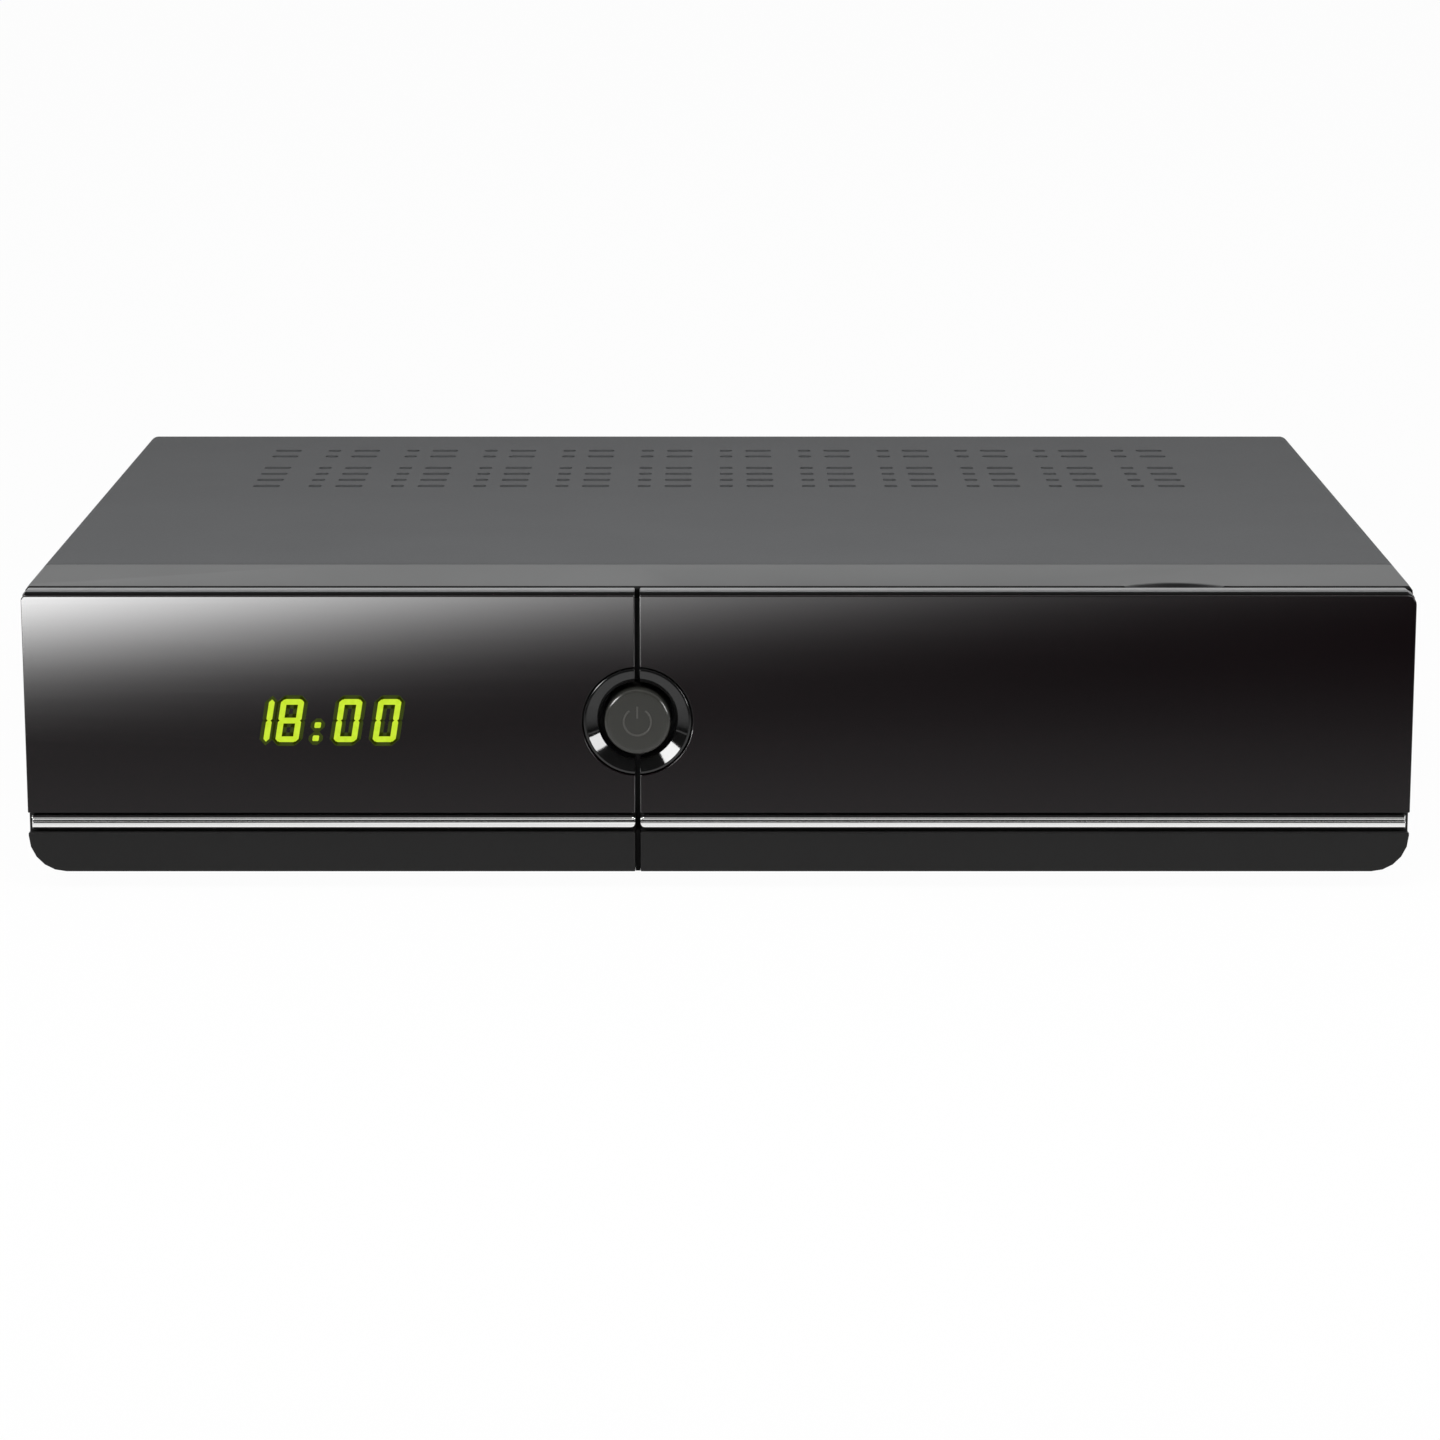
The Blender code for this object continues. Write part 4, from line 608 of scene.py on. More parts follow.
bpy.ops.mesh.extrude_edges_move(TRANSFORM_OT_translate={"value": (0, 0, -lip_height)})
leave_edit()
border = 5.4 * mm
for axis in range(3):
    for corner, inward in ((cover_low, 1), (cover_high, -1)):
        bisect(cover, [value + inward * border for value in corner], axis)
edit(cover)
bpy.ops.mesh.normals_make_consistent(inside=False)
leave_edit()
modify(cover, "SOLIDIFY", thickness=sheet, offset=-1)
modify(cover, "BEVEL", width=0.2 * mm, segments=2, limit_method="ANGLE", angle_limit=math.radians(60))
print("sheet", len(cover.data.polygons), "faces")

# %% [markdown]
# The vents are punched last. One slot is a cube with rounded upright edges; an array repeats it
# along the row, six copies make the rows, and a Boolean cuts them all. Round cutters for the screw
# holes go the same way.

# %% Make the cutters
slot_depth, wide_slot, narrow_slot, narrow_offset = 3.4 * mm, 6.6 * mm, 3.2 * mm, 11.9 * mm
pitch_x, pitch_y, columns = 20.17 * mm, 9.55 * mm, 12
first_row_y = cover_high.y - 25.1 * mm
first_x = -(columns - 1) / 2 * pitch_x


def slot_row(width, x, y, count):
    cutter = box_round((x, y, cover_high.z), (width, slot_depth, 4 * sheet))
    edit(cutter, "DESELECT")
    select_edges(cutter, lambda first, second: abs(first.z - second.z) > sheet)
    bpy.ops.mesh.bevel(offset=1.15 * mm, segments=5, affect="EDGES")
    leave_edit()
    modify(
        cutter, "ARRAY", count=count, use_relative_offset=False,
        use_constant_offset=True, constant_offset_displace=(pitch_x, 0, 0),
    )
    return cutter


def hole_cutter(location, axis):
    deselect()
    turn = {"X": (0, math.radians(90), 0), "Y": (math.radians(90), 0, 0)}[axis]
    bpy.ops.mesh.primitive_cylinder_add(
        vertices=24, radius=1.6 * mm, depth=4 * mm, location=location, rotation=turn,
    )
    bpy.ops.object.transform_apply(location=True, rotation=True, scale=True)
    return bpy.context.object


def join(pieces, name):
    deselect()
    for piece in pieces:
        piece.select_set(True)
    bpy.context.view_layer.objects.active = pieces[0]
    bpy.ops.object.join()
    bpy.context.object.name = name
    return bpy.context.object


def punch(piece, cutters):
    tool = join(cutters, "cutter")
    modify(piece, "BOOLEAN", object=tool, operation="DIFFERENCE", solver="EXACT")
    bpy.data.objects.remove(tool)


# %% Cut them into the sheet
cutters = []
for row in (0, 1, 3, 4, 5, 6):
    y = first_row_y - row * pitch_y
    cutters.append(slot_row(wide_slot, first_x, y, columns))
    cutters.append(slot_row(narrow_slot, first_x + narrow_offset, y, columns - 1))
for node in frame["nodes"]:
    if node.startswith(("side_screw", "rear_screw")):
        screw_middle = sum((Vector(corner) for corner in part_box(node)), Vector()) / 2
        side = "X" if node.startswith("side") else "Y"
        cutters.append(hole_cutter(screw_middle, side))
punch(cover, cutters)
smooth(cover, 30)
wear(cover, paint)
stand_in(cover, "top_cover")

# %% [markdown]
# ## The frame of the front
# Behind the gloss panel sits a plastic frame with a smooth ledge on top, and a round notch in the
# ledge to pull the door open. Its front wall has many openings: cut across each of them, it falls
# into faces that can't be filled wrongly. A strip at the front of the ledge gets a painted shadow,
# and the faces toward the front are black as painted shade under the ledge. Each half of the fascia
# has its own frame, with a black band below the bright strip; its lip is the same plastic, painted
# paler where it faces up, as painted light from above.

# %% Soften the plastic frames
bezel = copy_of("front_bezel", "front_surround")
for node in (
    "power_button", "door_catch_magnet", "card_reader", "front_usb_socket", "display_module",
    "key_menu", "key_ok",
):
    bisect(bezel, middle_of(node), 2)
    bisect(bezel, middle_of(node), 0)
painted_shadow_until = front_y + 8.3 * mm
soften(bezel, 0.3 * mm, 3)
bisect(bezel, (0, painted_shadow_until, 0), 1)
wear(bezel, bezel_plastic)
wear(bezel, painted_shadow_black)
wear(bezel, black_plastic)
# Upward faces in the front strip of the ledge get a painted shadow gap in black; faces toward the front get
# black plastic, as painted shade under the ledge.
for face in bezel.data.polygons:
    if face.center.z > 60 * mm and face.center.y < painted_shadow_until:
        face.material_index = 1
    elif face.normal.y < -0.75:
        face.material_index = 2
stand_in(bezel, "front_bezel")

lip_rise, lip_depth = 0.4 * mm, 0.8 * mm
for node, name in (("fascia_frame", "fixed_frame"), ("door_frame", "flap_frame")):
    piece = copy_of(node, name)
    for vertex in piece.data.vertices:
        if vertex.co.z > front_top - near:
            vertex.co.z += lip_rise
    lip_front = front_y + 2.3 * mm
    edit(piece, "DESELECT")
    select_edges(
        piece,
        lambda first, second: min(first.z, second.z) > front_top - near
        and max(first.y, second.y) < lip_front + near,
    )
    bpy.ops.mesh.bevel(offset=0.45 * mm, segments=3, affect="EDGES", clamp_overlap=False)
    leave_edit()
    soften(piece, 0.25 * mm, 3)
    wear(piece, band_plastic)
    wear(piece, painted_lit_lip)
    # Upward faces at the top of the frame get the paler lip colour, as painted light from above.
    for face in piece.data.polygons:
        if face.center.z > front_top - lip_depth and face.normal.z > 0.1:
            face.material_index = 1
    stand_in(piece, node)

# %% [markdown]
# The door stops against a thin tongue on the case side. It stands in the lower part of the gap, so
# that no light shines through between the two bands.

# %% Set the tongue behind the seam
tongue = box_round((seam_x, front_y + 2.7 * mm, 8.55 * mm), (1.0 * mm, 4.2 * mm, 9.0 * mm))
tongue.name = "seam_tongue"
soften(tongue, 0.05 * mm, 2)
# The tongue wears the painted shadow black, so the seam reads as a shadowed gap.
wear(tongue, painted_shadow_black)
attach(tongue, "case")

# %% [markdown]
# ## The gloss panel
# The panel is parted at the seam between the fixed half and the door. Its edges are rounded by a
# quarter of a millimetre, and its rounded edges along the seam carry a painted highlight, a colour much
# lighter than its face.

# %% Shape both halves of the panel
for node, name in (("fascia_lens", "fixed_panel"), ("door_lens", "flap_panel")):
    piece = copy_of(node, name)
    soften(piece, 0.25 * mm, 4)
    wear(piece, panel_gloss_finish)
    wear(piece, painted_seam_highlight)
    # Rounded faces along the seam get the painted highlight colour.
    for face in piece.data.polygons:
        if abs(face.center.x - seam_x) < 0.9 * mm and face.normal.y < -0.2 and abs(face.normal.x) > 0.3:
            face.material_index = 1
    stand_in(piece, node)
    panel_pieces.objects.link(piece)

# %% [markdown]
# ## The bright strip
# Two chromed ridges run along the foot of the panel, with a fine groove between them. The ends at
# the seam are rounded in outline, so their corner edges are bevelled first, and then every edge.

# %% Round the strips
for node, name, seam_side in (("fascia_trim_strip", "fixed_strip", 1), ("door_trim_strip", "flap_strip", 0)):
    piece = copy_of(node, name)
    low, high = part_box(node)
    seam_end = (low, high)[seam_side][0]

    def end_corner(first, second):
        on_end = all(abs(point.x - seam_end) < near for point in (first, second))
        along_y = abs(first.z - second.z) < 0.8 * mm
        at_corner = max(first.z, second.z) > high[2] - 0.6 * mm or min(first.z, second.z) < low[2] + 0.6 * mm
        return on_end and along_y and at_corner and abs(first.y - second.y) > 0.4 * mm

    edit(piece, "DESELECT")
    select_edges(piece, end_corner)
    bpy.ops.mesh.bevel(offset=0.9 * mm, segments=5, affect="EDGES", clamp_overlap=False)
    leave_edit()
    soften(piece, 0.16 * mm, 3, angle=25)
    wear(piece, chrome)
    stand_in(piece, node)

# %% [markdown]
# ## The funnel ring
# The ring around the power button is a glossy funnel, and the seam parts it too. A lathe shape like
# this is drawn as a section and spun: the section is a small filled polygon, its corners are
# rounded as vertices, and a full turn makes the ring. Two bisections give the halves.

# %% Spin a section
def section(name, points, centre, corner, steps, start=0, turn=360):
    """A filled polygon of (radius, depth behind the front) points, spun about the y axis."""
    start = math.radians(start)
    deselect()
    bpy.ops.mesh.primitive_circle_add(vertices=len(points), fill_type="NGON", radius=1 * mm)
    piece = bpy.context.object
    piece.name = name
    for vertex, (radius, depth) in zip(piece.data.vertices, points):
        along_x, along_z = radius * math.cos(start), radius * math.sin(start)
        vertex.co = (centre[0] + along_x, centre[1] + depth, centre[2] + along_z)
    bpy.ops.object.mode_set(mode="EDIT")
    bpy.ops.mesh.select_all(action="SELECT")
    if corner:
        bpy.ops.mesh.bevel(offset=corner, segments=3, affect="VERTICES", clamp_overlap=True)
        bpy.ops.mesh.select_all(action="SELECT")
    bpy.ops.mesh.spin(steps=steps, angle=math.radians(turn), center=centre, axis=(0, 1, 0))
    bpy.ops.mesh.select_all(action="SELECT")
    bpy.ops.mesh.remove_doubles(threshold=0.004 * mm)
    bpy.ops.mesh.delete_loose()
    leave_edit()
    if turn == 360:
        drop_inner_faces(piece, centre)
    edit(piece)
    bpy.ops.mesh.normals_make_consistent(inside=False)
    leave_edit()
    return piece


def drop_inner_faces(piece, centre):
    """A full turn leaves the section inside at every step: faces in a plane through the axis go."""
    def through_axis(middle, normal):
        outward = Vector((middle.x - centre[0], 0, middle.z - centre[2])).normalized()
        return abs(normal.y) < 0.01 and abs(normal.dot(outward)) < 0.1

    edit(piece, "DESELECT")
    select_faces(piece, through_axis)
    bpy.ops.mesh.delete(type="ONLY_FACE")
    bpy.ops.mesh.select_all(action="SELECT")
    bpy.ops.mesh.delete_loose(use_verts=True, use_edges=True, use_faces=False)
    leave_edit()


def keep_side(piece, x, side):
    """Cuts a piece at a plane across x and keeps one side, closed."""
    edit(piece)
    bpy.ops.mesh.bisect(
        plane_co=(x, 0, 0), plane_no=(1, 0, 0), use_fill=True,
        clear_inner=side > 0, clear_outer=side < 0,
    )
    leave_edit()


centre = (seam_x, front_y, button_z)
ring_radius = (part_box("power_ring_right")[1][2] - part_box("power_ring_right")[0][2]) / 2
well_radius = 8.5 * mm
ring_section = [
    (ring_radius - 0.5 * mm, -0.1 * mm), (ring_radius, 0.05 * mm), (ring_radius, 2 * mm),
    (well_radius, 2 * mm), (well_radius, 1.2 * mm),
]
for node, name, side in (("power_ring_left", "ring_left", -1), ("power_ring_right", "ring_right", 1)):
    piece = section(name, ring_section, centre, 0.12 * mm, 128)
    keep_side(piece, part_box(node)[0][0] if side > 0 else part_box(node)[1][0], side)
    soften(piece, 0.07 * mm, 2, angle=50)
    wear(piece, ring_gloss)
    stand_in(piece, node)

# %% [markdown]
# ## The power button
# The cap is spun in the same way, with its stem and the flange that keeps it behind the wall. Its
# rim is glossier than its face and catches the light. The usual power sign stands on it in faint
# relief: an open circle and a bar.

# %% Spin the button and raise its sign
button_low, button_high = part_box("power_button")
cap_front = button_low[1] - front_y + 0.4 * mm
flange_radius = (button_high[0] - button_low[0]) / 2
cap_radius, cap_back, flange_back = 7.15 * mm, 10.6 * mm, button_high[1] - front_y
button_section = [
    (0, cap_front), (6.45 * mm, cap_front), (7.0 * mm, cap_front + 0.28 * mm),
    (cap_radius, cap_front + 0.65 * mm), (cap_radius, cap_back), (flange_radius, cap_back),
    (flange_radius, flange_back), (0, flange_back),
]
button = section("power_cap", button_section, centre, 0, 128)
edit(button, "DESELECT")
select_faces(button, lambda middle, normal: normal.y < -0.9999)
bpy.ops.mesh.dissolve_faces()
bpy.ops.mesh.inset(thickness=0.6 * mm)
select_faces(button, lambda middle, normal: normal.y > 0.9999 and middle.y > button_high[1] - near)
bpy.ops.mesh.dissolve_faces()
leave_edit()
soften(button, 0.18 * mm, 4, angle=40)
wear(button, cap_plastic)
wear(button, cap_edge)
for face in button.data.polygons:
    if face.center.y < front_y + cap_front + mm and 0.5 < -face.normal.y < 0.985:
        face.material_index = 1
stand_in(button, "power_button")

sign_front, sign_back, sign_edge = cap_front - 0.15 * mm, cap_front + 0.2 * mm, 0.06 * mm
sign_inside, sign_outside = 2.75 * mm, 3.15 * mm
sign_section = [
    (sign_inside, sign_front), (sign_outside, sign_front),
    (sign_outside, sign_back), (sign_inside, sign_back),
]
sign = section("power_sign", sign_section, centre, sign_edge, 64, start=125, turn=290)
bar_middle = (seam_x, front_y + (sign_front + sign_back) / 2, button_z + 2.1 * mm)
bar = box_round(bar_middle, (sign_outside - sign_inside, sign_back - sign_front, 2.6 * mm))
modify(bar, "BEVEL", width=sign_edge, segments=2)
sign = join([sign, bar], "power_sign")
smooth(sign)
wear(sign, sign_plastic)
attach(sign, "power_button")
print("button and sign", len(button.data.polygons), len(sign.data.polygons))

# %% [markdown]
# ## The lit digits
# Behind the fixed panel a small display shows the time in slanted seven-segment digits. Each segment
# is a thin plate with pointed ends, modelled once, copied, turned and slanted, and set into the
# face of the panel, so that it reads as light just under the gloss.

# %% Model one segment
digit_height = 9.5 * mm
digit_width = 5.0 * mm
stroke = 1.25 * mm
halo = 0.85 * mm
digit_z = 37.62 * mm
slant = 0.17
segment_back = 0.3 * mm


def bar_segment(length, stroke, point=0.49):
    """One segment lying along x around the origin, with pointed ends."""
    piece = box_round((0, 0, 0), (length, segment_back, stroke))
    edit(piece, "DESELECT")
    select_edges(piece, lambda first, second: abs(first.y - second.y) > segment_back / 2)
    bpy.ops.mesh.bevel(offset=stroke * point, segments=1, affect="EDGES", clamp_overlap=False)
    leave_edit()
    return piece


def segment_at(x, z, length, upright, left, grow=0, point=0.49):
    """A segment in its place; `grow` makes the wider, dim one that glows round it."""
    piece = bar_segment(length + 2 * grow, stroke + 2 * grow, point)
    proud = (0.01 if grow else 0.03) * mm
    if upright:
        edit(piece)
        bpy.ops.transform.rotate(value=math.radians(90), orient_axis="Y", center_override=(0, 0, 0))
        leave_edit()
    for vertex in piece.data.vertices:
        height = vertex.co.z + z
        vertex.co = (
            vertex.co.x + x + left + height * slant,
            vertex.co.y + front_y - proud + segment_back / 2,
            height + digit_z,
        )
    return piece


# %% Set the digits
half = (digit_height - stroke) / 4
side = (digit_width - stroke) / 2
joint = 0.12 * mm
across_length = digit_width - stroke * 0.5
upright_length = 2 * half + stroke * 0.66
places = {
    "a": (0, 2 * half, across_length, False), "g": (0, 0, across_length, False),
    "d": (0, -2 * half, across_length, False),
    "b": (side, half + joint, upright_length, True), "c": (side, -half - joint, upright_length, True),
    "f": (-side, half + joint, upright_length, True), "e": (-side, -half - joint, upright_length, True),
}
digits = (("bc", -99.05), ("abcdefg", -92.7), ("abcdef", -80.1), ("abcdef", -71.7))
for name, grow, dim, bright in (
    ("time_digits", 0, (0.46, 0.66, 0.012), (0.66, 0.88, 0.05)),
    ("digit_glow", halo, (0.012, 0.016, 0.0005), (0.022, 0.030, 0.0009)),
):
    lit = []
    for segments, left in digits:
        for letter in segments:
            x, z, length, upright = places[letter]
            lit.append(segment_at(x, z, length, upright, left * mm, grow))
    for z in (-1.0 * mm, -3.9 * mm):
        lit.append(segment_at(0, z, stroke * 1.1, False, -86.5 * mm, grow, 0.15 + 0.2 * bool(grow)))
    piece = join(lit, name)
    light = Finish(name, (0.02, 0.03, 0.005), 0.3, specular=0.1)
    light.set("Emission Color", light.mix(light.grain(1.2, 2), dim, bright))
    light.set("Emission Strength", 1)
    wear(piece, light)
    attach(piece, "case")
    print(name, len(lit), "segments")

# %% [markdown]
# ## Finishes behind the panel
# A circuit board has green lacquer over fine copper traces, and tinned pads. The traces are bands
# cut out of a slow noise, and the pads are small discs around the points of a Voronoi pattern.

# %% Board, cable and coil finishes
def circuit_board():
    lacquer = Finish("solder_mask", (0.010, 0.085, 0.036), 0.34)
    trace = (lacquer.grain(16, 0) * 22).math("FRACT") > 0.72
    where = lacquer.place((1 / 5.5, 1 / 5.5, 1 / 5.5))
    pad = lacquer.node("TexVoronoi", {}, {"Vector": where, "Scale": 1}) < 0.13
    green = lacquer.mix(trace, lacquer.colour, (0.022, 0.16, 0.06))
    lacquer.set("Base Color", lacquer.mix(pad, green, (0.7, 0.7, 0.66)))
    lacquer.set("Metallic", pad)
    lacquer.set("Roughness", lacquer.grain(3, 2) * 0.15 + 0.26)
    lacquer.set("Normal", lacquer.bump(trace, 0.02))
    return lacquer


def striped(name, colour, other, axis, period, share, roughness=0.45, metallic=0):
    """Stripes across one axis, `period` millimetres apart, with rounded relief."""
    finish = Finish(name, colour, roughness, metallic=metallic)
    phase = (finish.axis(axis) / period).math("FRACT")
    finish.set("Base Color", finish.mix(phase < share, colour, other))
    finish.set("Roughness", finish.grain(2, 2) * 0.16 + (roughness - 0.08))
    finish.set("Normal", finish.bump(abs(phase - 0.5), 0.3 * period))
    return finish


board = circuit_board()
ribbon_finish = striped("ribbon_wires", (0.36, 0.36, 0.36), (0.5, 0.5, 0.49), "X", 1.27, 0.5)
harness_finish = striped("harness_wires", (0.48, 0.47, 0.45), (0.4, 0.39, 0.38), "Y", 3.1, 0.2)
coil_finish = striped("copper_winding", (0.62, 0.22, 0.07), (0.42, 0.13, 0.04), "Y", 0.9, 0.35, 0.35, 1)
tape_finish = striped("winding_tape", (0.60, 0.40, 0.05), (0.53, 0.34, 0.04), "Z", 5.2, 0.06)
yellow = moulded("yellow_insert", (0.75, 0.52, 0.02), 0.4)
white_insert = moulded("white_insert", (0.75, 0.75, 0.73), 0.4)
red = moulded("red_insert", (0.5, 0.02, 0.02), 0.4)
infrared_dark = moulded("infrared_window", (0.03, 0.002, 0.004), 0.15, texture=1.5, depth=0.001)
gold = metal("gold_contact", (0.88, 0.62, 0.24), 0.3, size=0.4, spread=0.06)
jack_colours = {"jack_yellow": yellow, "jack_white": white_insert, "jack_red": red}

sleeve = Finish("capacitor_sleeve", (0.018, 0.018, 0.022), 0.38)
sleeve_top = sleeve.axis("Z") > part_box("bulk_capacitor")[1][2] / mm - 0.3
sleeve.set("Base Color", sleeve.mix(sleeve_top, sleeve.shade(sleeve.grain(9), 0.2), (0.75, 0.75, 0.76)))
sleeve.set("Metallic", sleeve_top)
sleeve.set("Roughness", sleeve.grain(2, 2) * 0.12 + 0.3)

fuse_glass = Finish("fuse_glass", (0.42, 0.44, 0.44), 0.12)
fuse_low, fuse_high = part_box("fuse")
fuse_middle = (fuse_low[1] + fuse_high[1]) / 2 / mm
fuse_cap = abs(fuse_glass.axis("Y") - fuse_middle) > 5.1
glass_colour = fuse_glass.shade(fuse_glass.grain(4), 0.2)
fuse_glass.set("Base Color", fuse_glass.mix(fuse_cap, glass_colour, (0.7, 0.7, 0.68)))
fuse_glass.set("Metallic", fuse_cap)
fuse_glass.set("Roughness", fuse_glass.grain(1.5, 2) * 0.1 + 0.1)
print("finishes", len(bpy.data.materials))

# %% [markdown]
# ## The screws
# Seven screws hold the cover. Each head gets a small rounding and a cross recess. The two bars of
# the cross cut one after the other, because a cutter that crosses itself can leave nothing.

# %% Cut the cross recesses
cross_long, cross_wide, cross_deep = 3.0 * mm, 0.62 * mm, 1.3 * mm
for node in [name for name in frame["nodes"] if name.startswith(("side_screw", "rear_screw"))]:
    screw = copy_of(node, node + "_crosshead")
    soften(screw, 0.2 * mm, 3, angle=50)
    axis = 0 if node.startswith("side") else 1
    face = middle_of(node)
    face[axis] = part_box(node)[0][0] if node.startswith("side_screw_left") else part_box(node)[1][axis]
    for first, second in ((cross_long, cross_wide), (cross_wide, cross_long)):
        size = [first, first, second]
        size[axis] = cross_deep
        punch(screw, [box_round(face, size)])
    smooth(screw, 30)
    wear(screw, screw_steel)
    stand_in(screw, node)

# %% [markdown]
# ## The rear sockets
# The threaded sockets are turned from a section with a zigzag for the thread. The round audio and
# video jacks are a metal barrel around a coloured core. The shell of the flat sockets is tin, their
# inside is black, and small gilt contacts sit in the mouths.

# %% Turn the round sockets
for node in ("satellite_input", "satellite_loop_output"):
    low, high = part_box(node)
    start = (middle_of(node)[0], low[1], middle_of(node)[2])
    length = high[1] - low[1]
    thread = [point for turn in range(12) for point in (
        (4.75 * mm, (7.2 + 0.8 * turn) * mm), (4.35 * mm, (7.6 + 0.8 * turn) * mm),
    )]
    profile = [(3.4 * mm, 0), (6 * mm, 0), (6 * mm, 5.6 * mm), (4.75 * mm, 5.6 * mm)] + thread
    profile += [(4.75 * mm, 16.8 * mm), (4.4 * mm, length), (3.4 * mm, length)]
    barrel = section(node + "_barrel", profile, start, 0, 48)
    smooth(barrel, 25)
    wear(barrel, tin)
    stand_in(barrel, node)
    core_profile = [
        (0, 0.5 * mm), (3.38 * mm, 0.5 * mm), (3.38 * mm, length - 0.7 * mm),
        (0.6 * mm, length - 0.7 * mm), (0.6 * mm, length - 6 * mm), (0, length - 6 * mm),
    ]
    core = section(node + "_core", core_profile, start, 0, 32)
    smooth(core)
    wear(core, white_insert)
    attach(core, "case")

# %% Turn the three jacks
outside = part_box("rear_panel")[1][1]
jack_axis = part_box("video_jack")[0][2] + 7 * mm
core_radius, barrel_radius, bore_radius, jack_back = 3.3 * mm, 4.15 * mm, 1.6 * mm, -2 * mm
for node in ("video_jack", "audio_jack_left", "audio_jack_right"):
    low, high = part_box(node)
    start = (middle_of(node)[0], outside, jack_axis)
    proud = high[1] - outside
    body = box_at(low, (high[0], outside - 1 * mm, high[2]))
    soften(body, 0.4 * mm, 3)
    core_profile = [
        (0, jack_back), (core_radius, jack_back), (core_radius, proud - 0.5 * mm),
        (bore_radius, proud - 0.5 * mm), (bore_radius, 0.5 * mm), (0, 0.5 * mm),
    ]
    core = join([body, section("core", core_profile, start, 0, 40)], node + "_core")
    smooth(core)
    wear(core, jack_colours[slot_of[node]])
    stand_in(core, node)
    inner = core_radius + 0.02 * mm
    ring = [(inner, jack_back), (barrel_radius, jack_back), (barrel_radius, proud), (inner, proud)]
    barrel = section(node + "_barrel", ring, start, 0.12 * mm, 48)
    smooth(barrel)
    wear(barrel, tin)
    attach(barrel, "case")

# %% [markdown]
# The flat sockets keep the shape of their solids. A face belongs to the inside when it lies deeper
# than the wall from all four sides, and is not the rim.

# %% Line the flat sockets
def lined(node, wall, shell, lining, rounding=0.25):
    low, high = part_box(node)
    piece = copy_of(node, node + "_shell")
    soften(piece, rounding * mm, 2)
    wear(piece, shell)
    wear(piece, lining)
    for face in piece.data.polygons:
        point = face.center
        depth = min(point.x - low[0], high[0] - point.x, point.z - low[2], high[2] - point.z)
        rim = abs(face.normal.y) > 0.9 and min(abs(point.y - low[1]), abs(point.y - high[1])) < 0.05 * mm
        if depth > wall * mm and not rim:
            face.material_index = 1
    stand_in(piece, node)
    return piece


lined("hdmi_socket", 0.45, tin, black_plastic, 0.15)
lined("ethernet_socket", 1.2, tin, black_plastic)
lined("front_usb_socket", 0.45, tin, black_plastic, 0.15)
lined("scart_socket", 1.2, black_plastic, grey_plastic, 0.3)
lined("card_reader", 1.5, tin, black_plastic, 0.3)

pin_offset, pin_reach, inlet_depth = 4.3 * mm, 1.3 * mm, 8 * mm
for node in ("mains_inlet", "power_switch_housing", "power_switch_rocker"):
    piece = copy_of(node, node + "_moulding")
    soften(piece, 0.25 * mm, 2)
    wear(piece, black_plastic)
    wear(piece, tin)
    for face in piece.data.polygons if node == "mains_inlet" else ():
        off_x = abs(face.center.x - middle_of(node)[0]) - pin_offset
        off_z = face.center.z - middle_of(node)[2]
        if math.hypot(off_x, off_z) < pin_reach and face.center.y > outside - inlet_depth:
            face.material_index = 1
    stand_in(piece, node)

# %% Set the contacts in the mouths
contacts = []
for node, count, pitch, back, size, lift in (
    ("hdmi_socket", 9, 1.3, -2.4, (0.5, 3.4, 0.12), 0.72),
    ("ethernet_socket", 8, 1.02, -5.0, (0.45, 7.0, 0.4), -3.6),
    ("scart_socket", 10, 3.7, -3.0, (1.5, 3.6, 0.3), 2.95),
    ("scart_socket", 10, 3.7, -3.0, (1.5, 3.6, 0.3), -2.95),
):
    middle = middle_of(node)
    for step in range(count):
        x = middle[0] + (step - (count - 1) / 2) * pitch * mm
        place = (x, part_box(node)[1][1] + back * mm, middle[2] + lift * mm)
        contacts.append(box_round(place, [side * mm for side in size]))
rear_contacts = join(contacts, "rear_contacts")
wear(rear_contacts, gold)
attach(rear_contacts, "case")

# %% [markdown]
# ## Keys and feet
# The six keys behind the door get rounder edges and a raised sign each: bars for the menu, a dot to
# confirm, minus and plus, and two triangles. The rubber feet are rounded too.

# %% Raise the signs of the keys
sign_thick, stroke_long, stroke_wide = 0.2 * mm, 2.7 * mm, 0.45 * mm
menu_bar, menu_step = (3.2 * mm, sign_thick, 0.4 * mm), 1.1 * mm


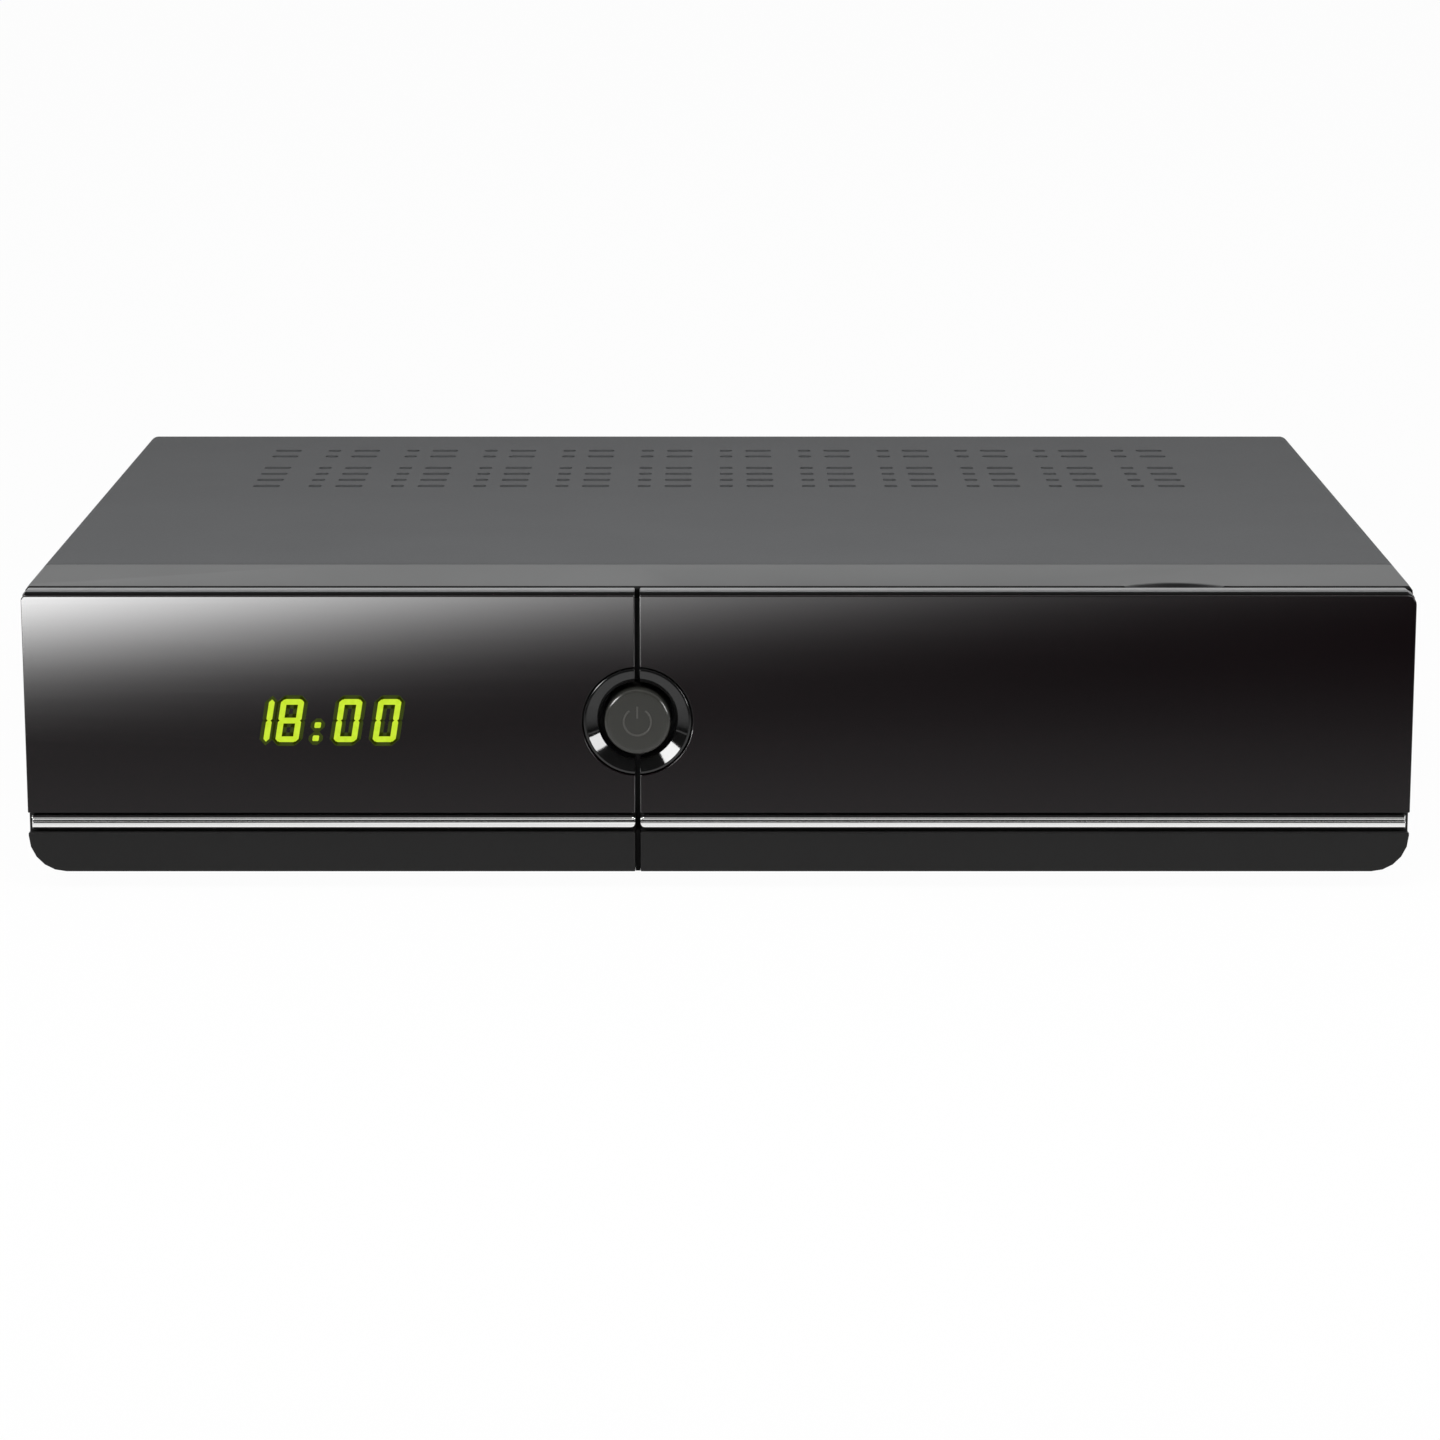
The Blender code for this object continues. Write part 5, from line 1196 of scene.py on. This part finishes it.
def key_sign(kind, x, y, z):
    """The raised pieces of one sign, around a point on the front of its key."""
    if kind == "bars":
        return [box_round((x, y, z + step * menu_step), menu_bar) for step in (-1, 0, 1)]
    if kind in ("minus", "plus"):
        bars = [box_round((x, y, z), (stroke_long, sign_thick, stroke_wide))]
        if kind == "plus":
            bars.append(box_round((x, y, z), (stroke_wide, sign_thick, stroke_long)))
        return bars
    deselect()
    corners = 28 if kind == "dot" else 3
    turn = math.radians(-90 if kind == "down" else 90)
    radius = (0.9 if kind == "dot" else 1.5) * mm
    bpy.ops.mesh.primitive_cylinder_add(
        vertices=corners, radius=radius, depth=sign_thick, location=(x, y, z), rotation=(turn, 0, 0),
    )
    bpy.ops.object.transform_apply(location=True, rotation=True, scale=True)
    return [bpy.context.object]


key_signs = {
    "key_menu": "bars", "key_ok": "dot", "key_volume_down": "minus", "key_volume_up": "plus",
    "key_channel_down": "down", "key_channel_up": "up",
}
sign_lift = 0.02 * mm
for node, kind in key_signs.items():
    key = copy_of(node, node + "_cap")
    soften(key, 0.3 * mm, 3)
    wear(key, black_plastic)
    stand_in(key, node)
    x, _, z = middle_of(node)
    mark = join(key_sign(kind, x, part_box(node)[0][1] - sign_lift, z), node + "_sign")
    wear(mark, white_insert)
    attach(mark, body_of[node])

# %% Round the feet
for node in ("foot_front_left", "foot_front_right", "foot_rear_left", "foot_rear_right"):
    foot = copy_of(node, node + "_pad")
    soften(foot, 0.5 * mm, 3, angle=50)
    wear(foot, rubber)
    stand_in(foot, node)

# %% [markdown]
# ## Everything else
# The remaining nodes keep their shape. Each gets the finish of its material slot, or its own.

# %% Dress the kept nodes
finish_of = {
    "cover_paint": paint, "bare_steel": zinc, "bezel_plastic": bezel_plastic, "band_plastic": band_plastic,
    "cap_plastic": cap_plastic, "rubber": rubber, "circuit_board": board, "black_plastic": black_plastic,
    "grey_plastic": grey_plastic, "tin": tin, "aluminium": aluminium, "winding_tape": tape_finish,
    "glass": fuse_glass, **jack_colours,
}
own_finish = {
    "ribbon_cable": ribbon_finish, "power_harness": harness_finish, "line_choke": coil_finish,
    "bulk_capacitor": sleeve, "ir_receiver": infrared_dark,
    "door_hinge_pin_left": screw_steel, "door_hinge_pin_right": screw_steel,
}
kept = []
for node, obj in frame["nodes"].items():
    if not obj.hide_render:
        kept.append(node)
        for place in obj.material_slots:
            place.material = own_finish.get(node, finish_of[slot_of[node]]).material
print("kept nodes", kept)
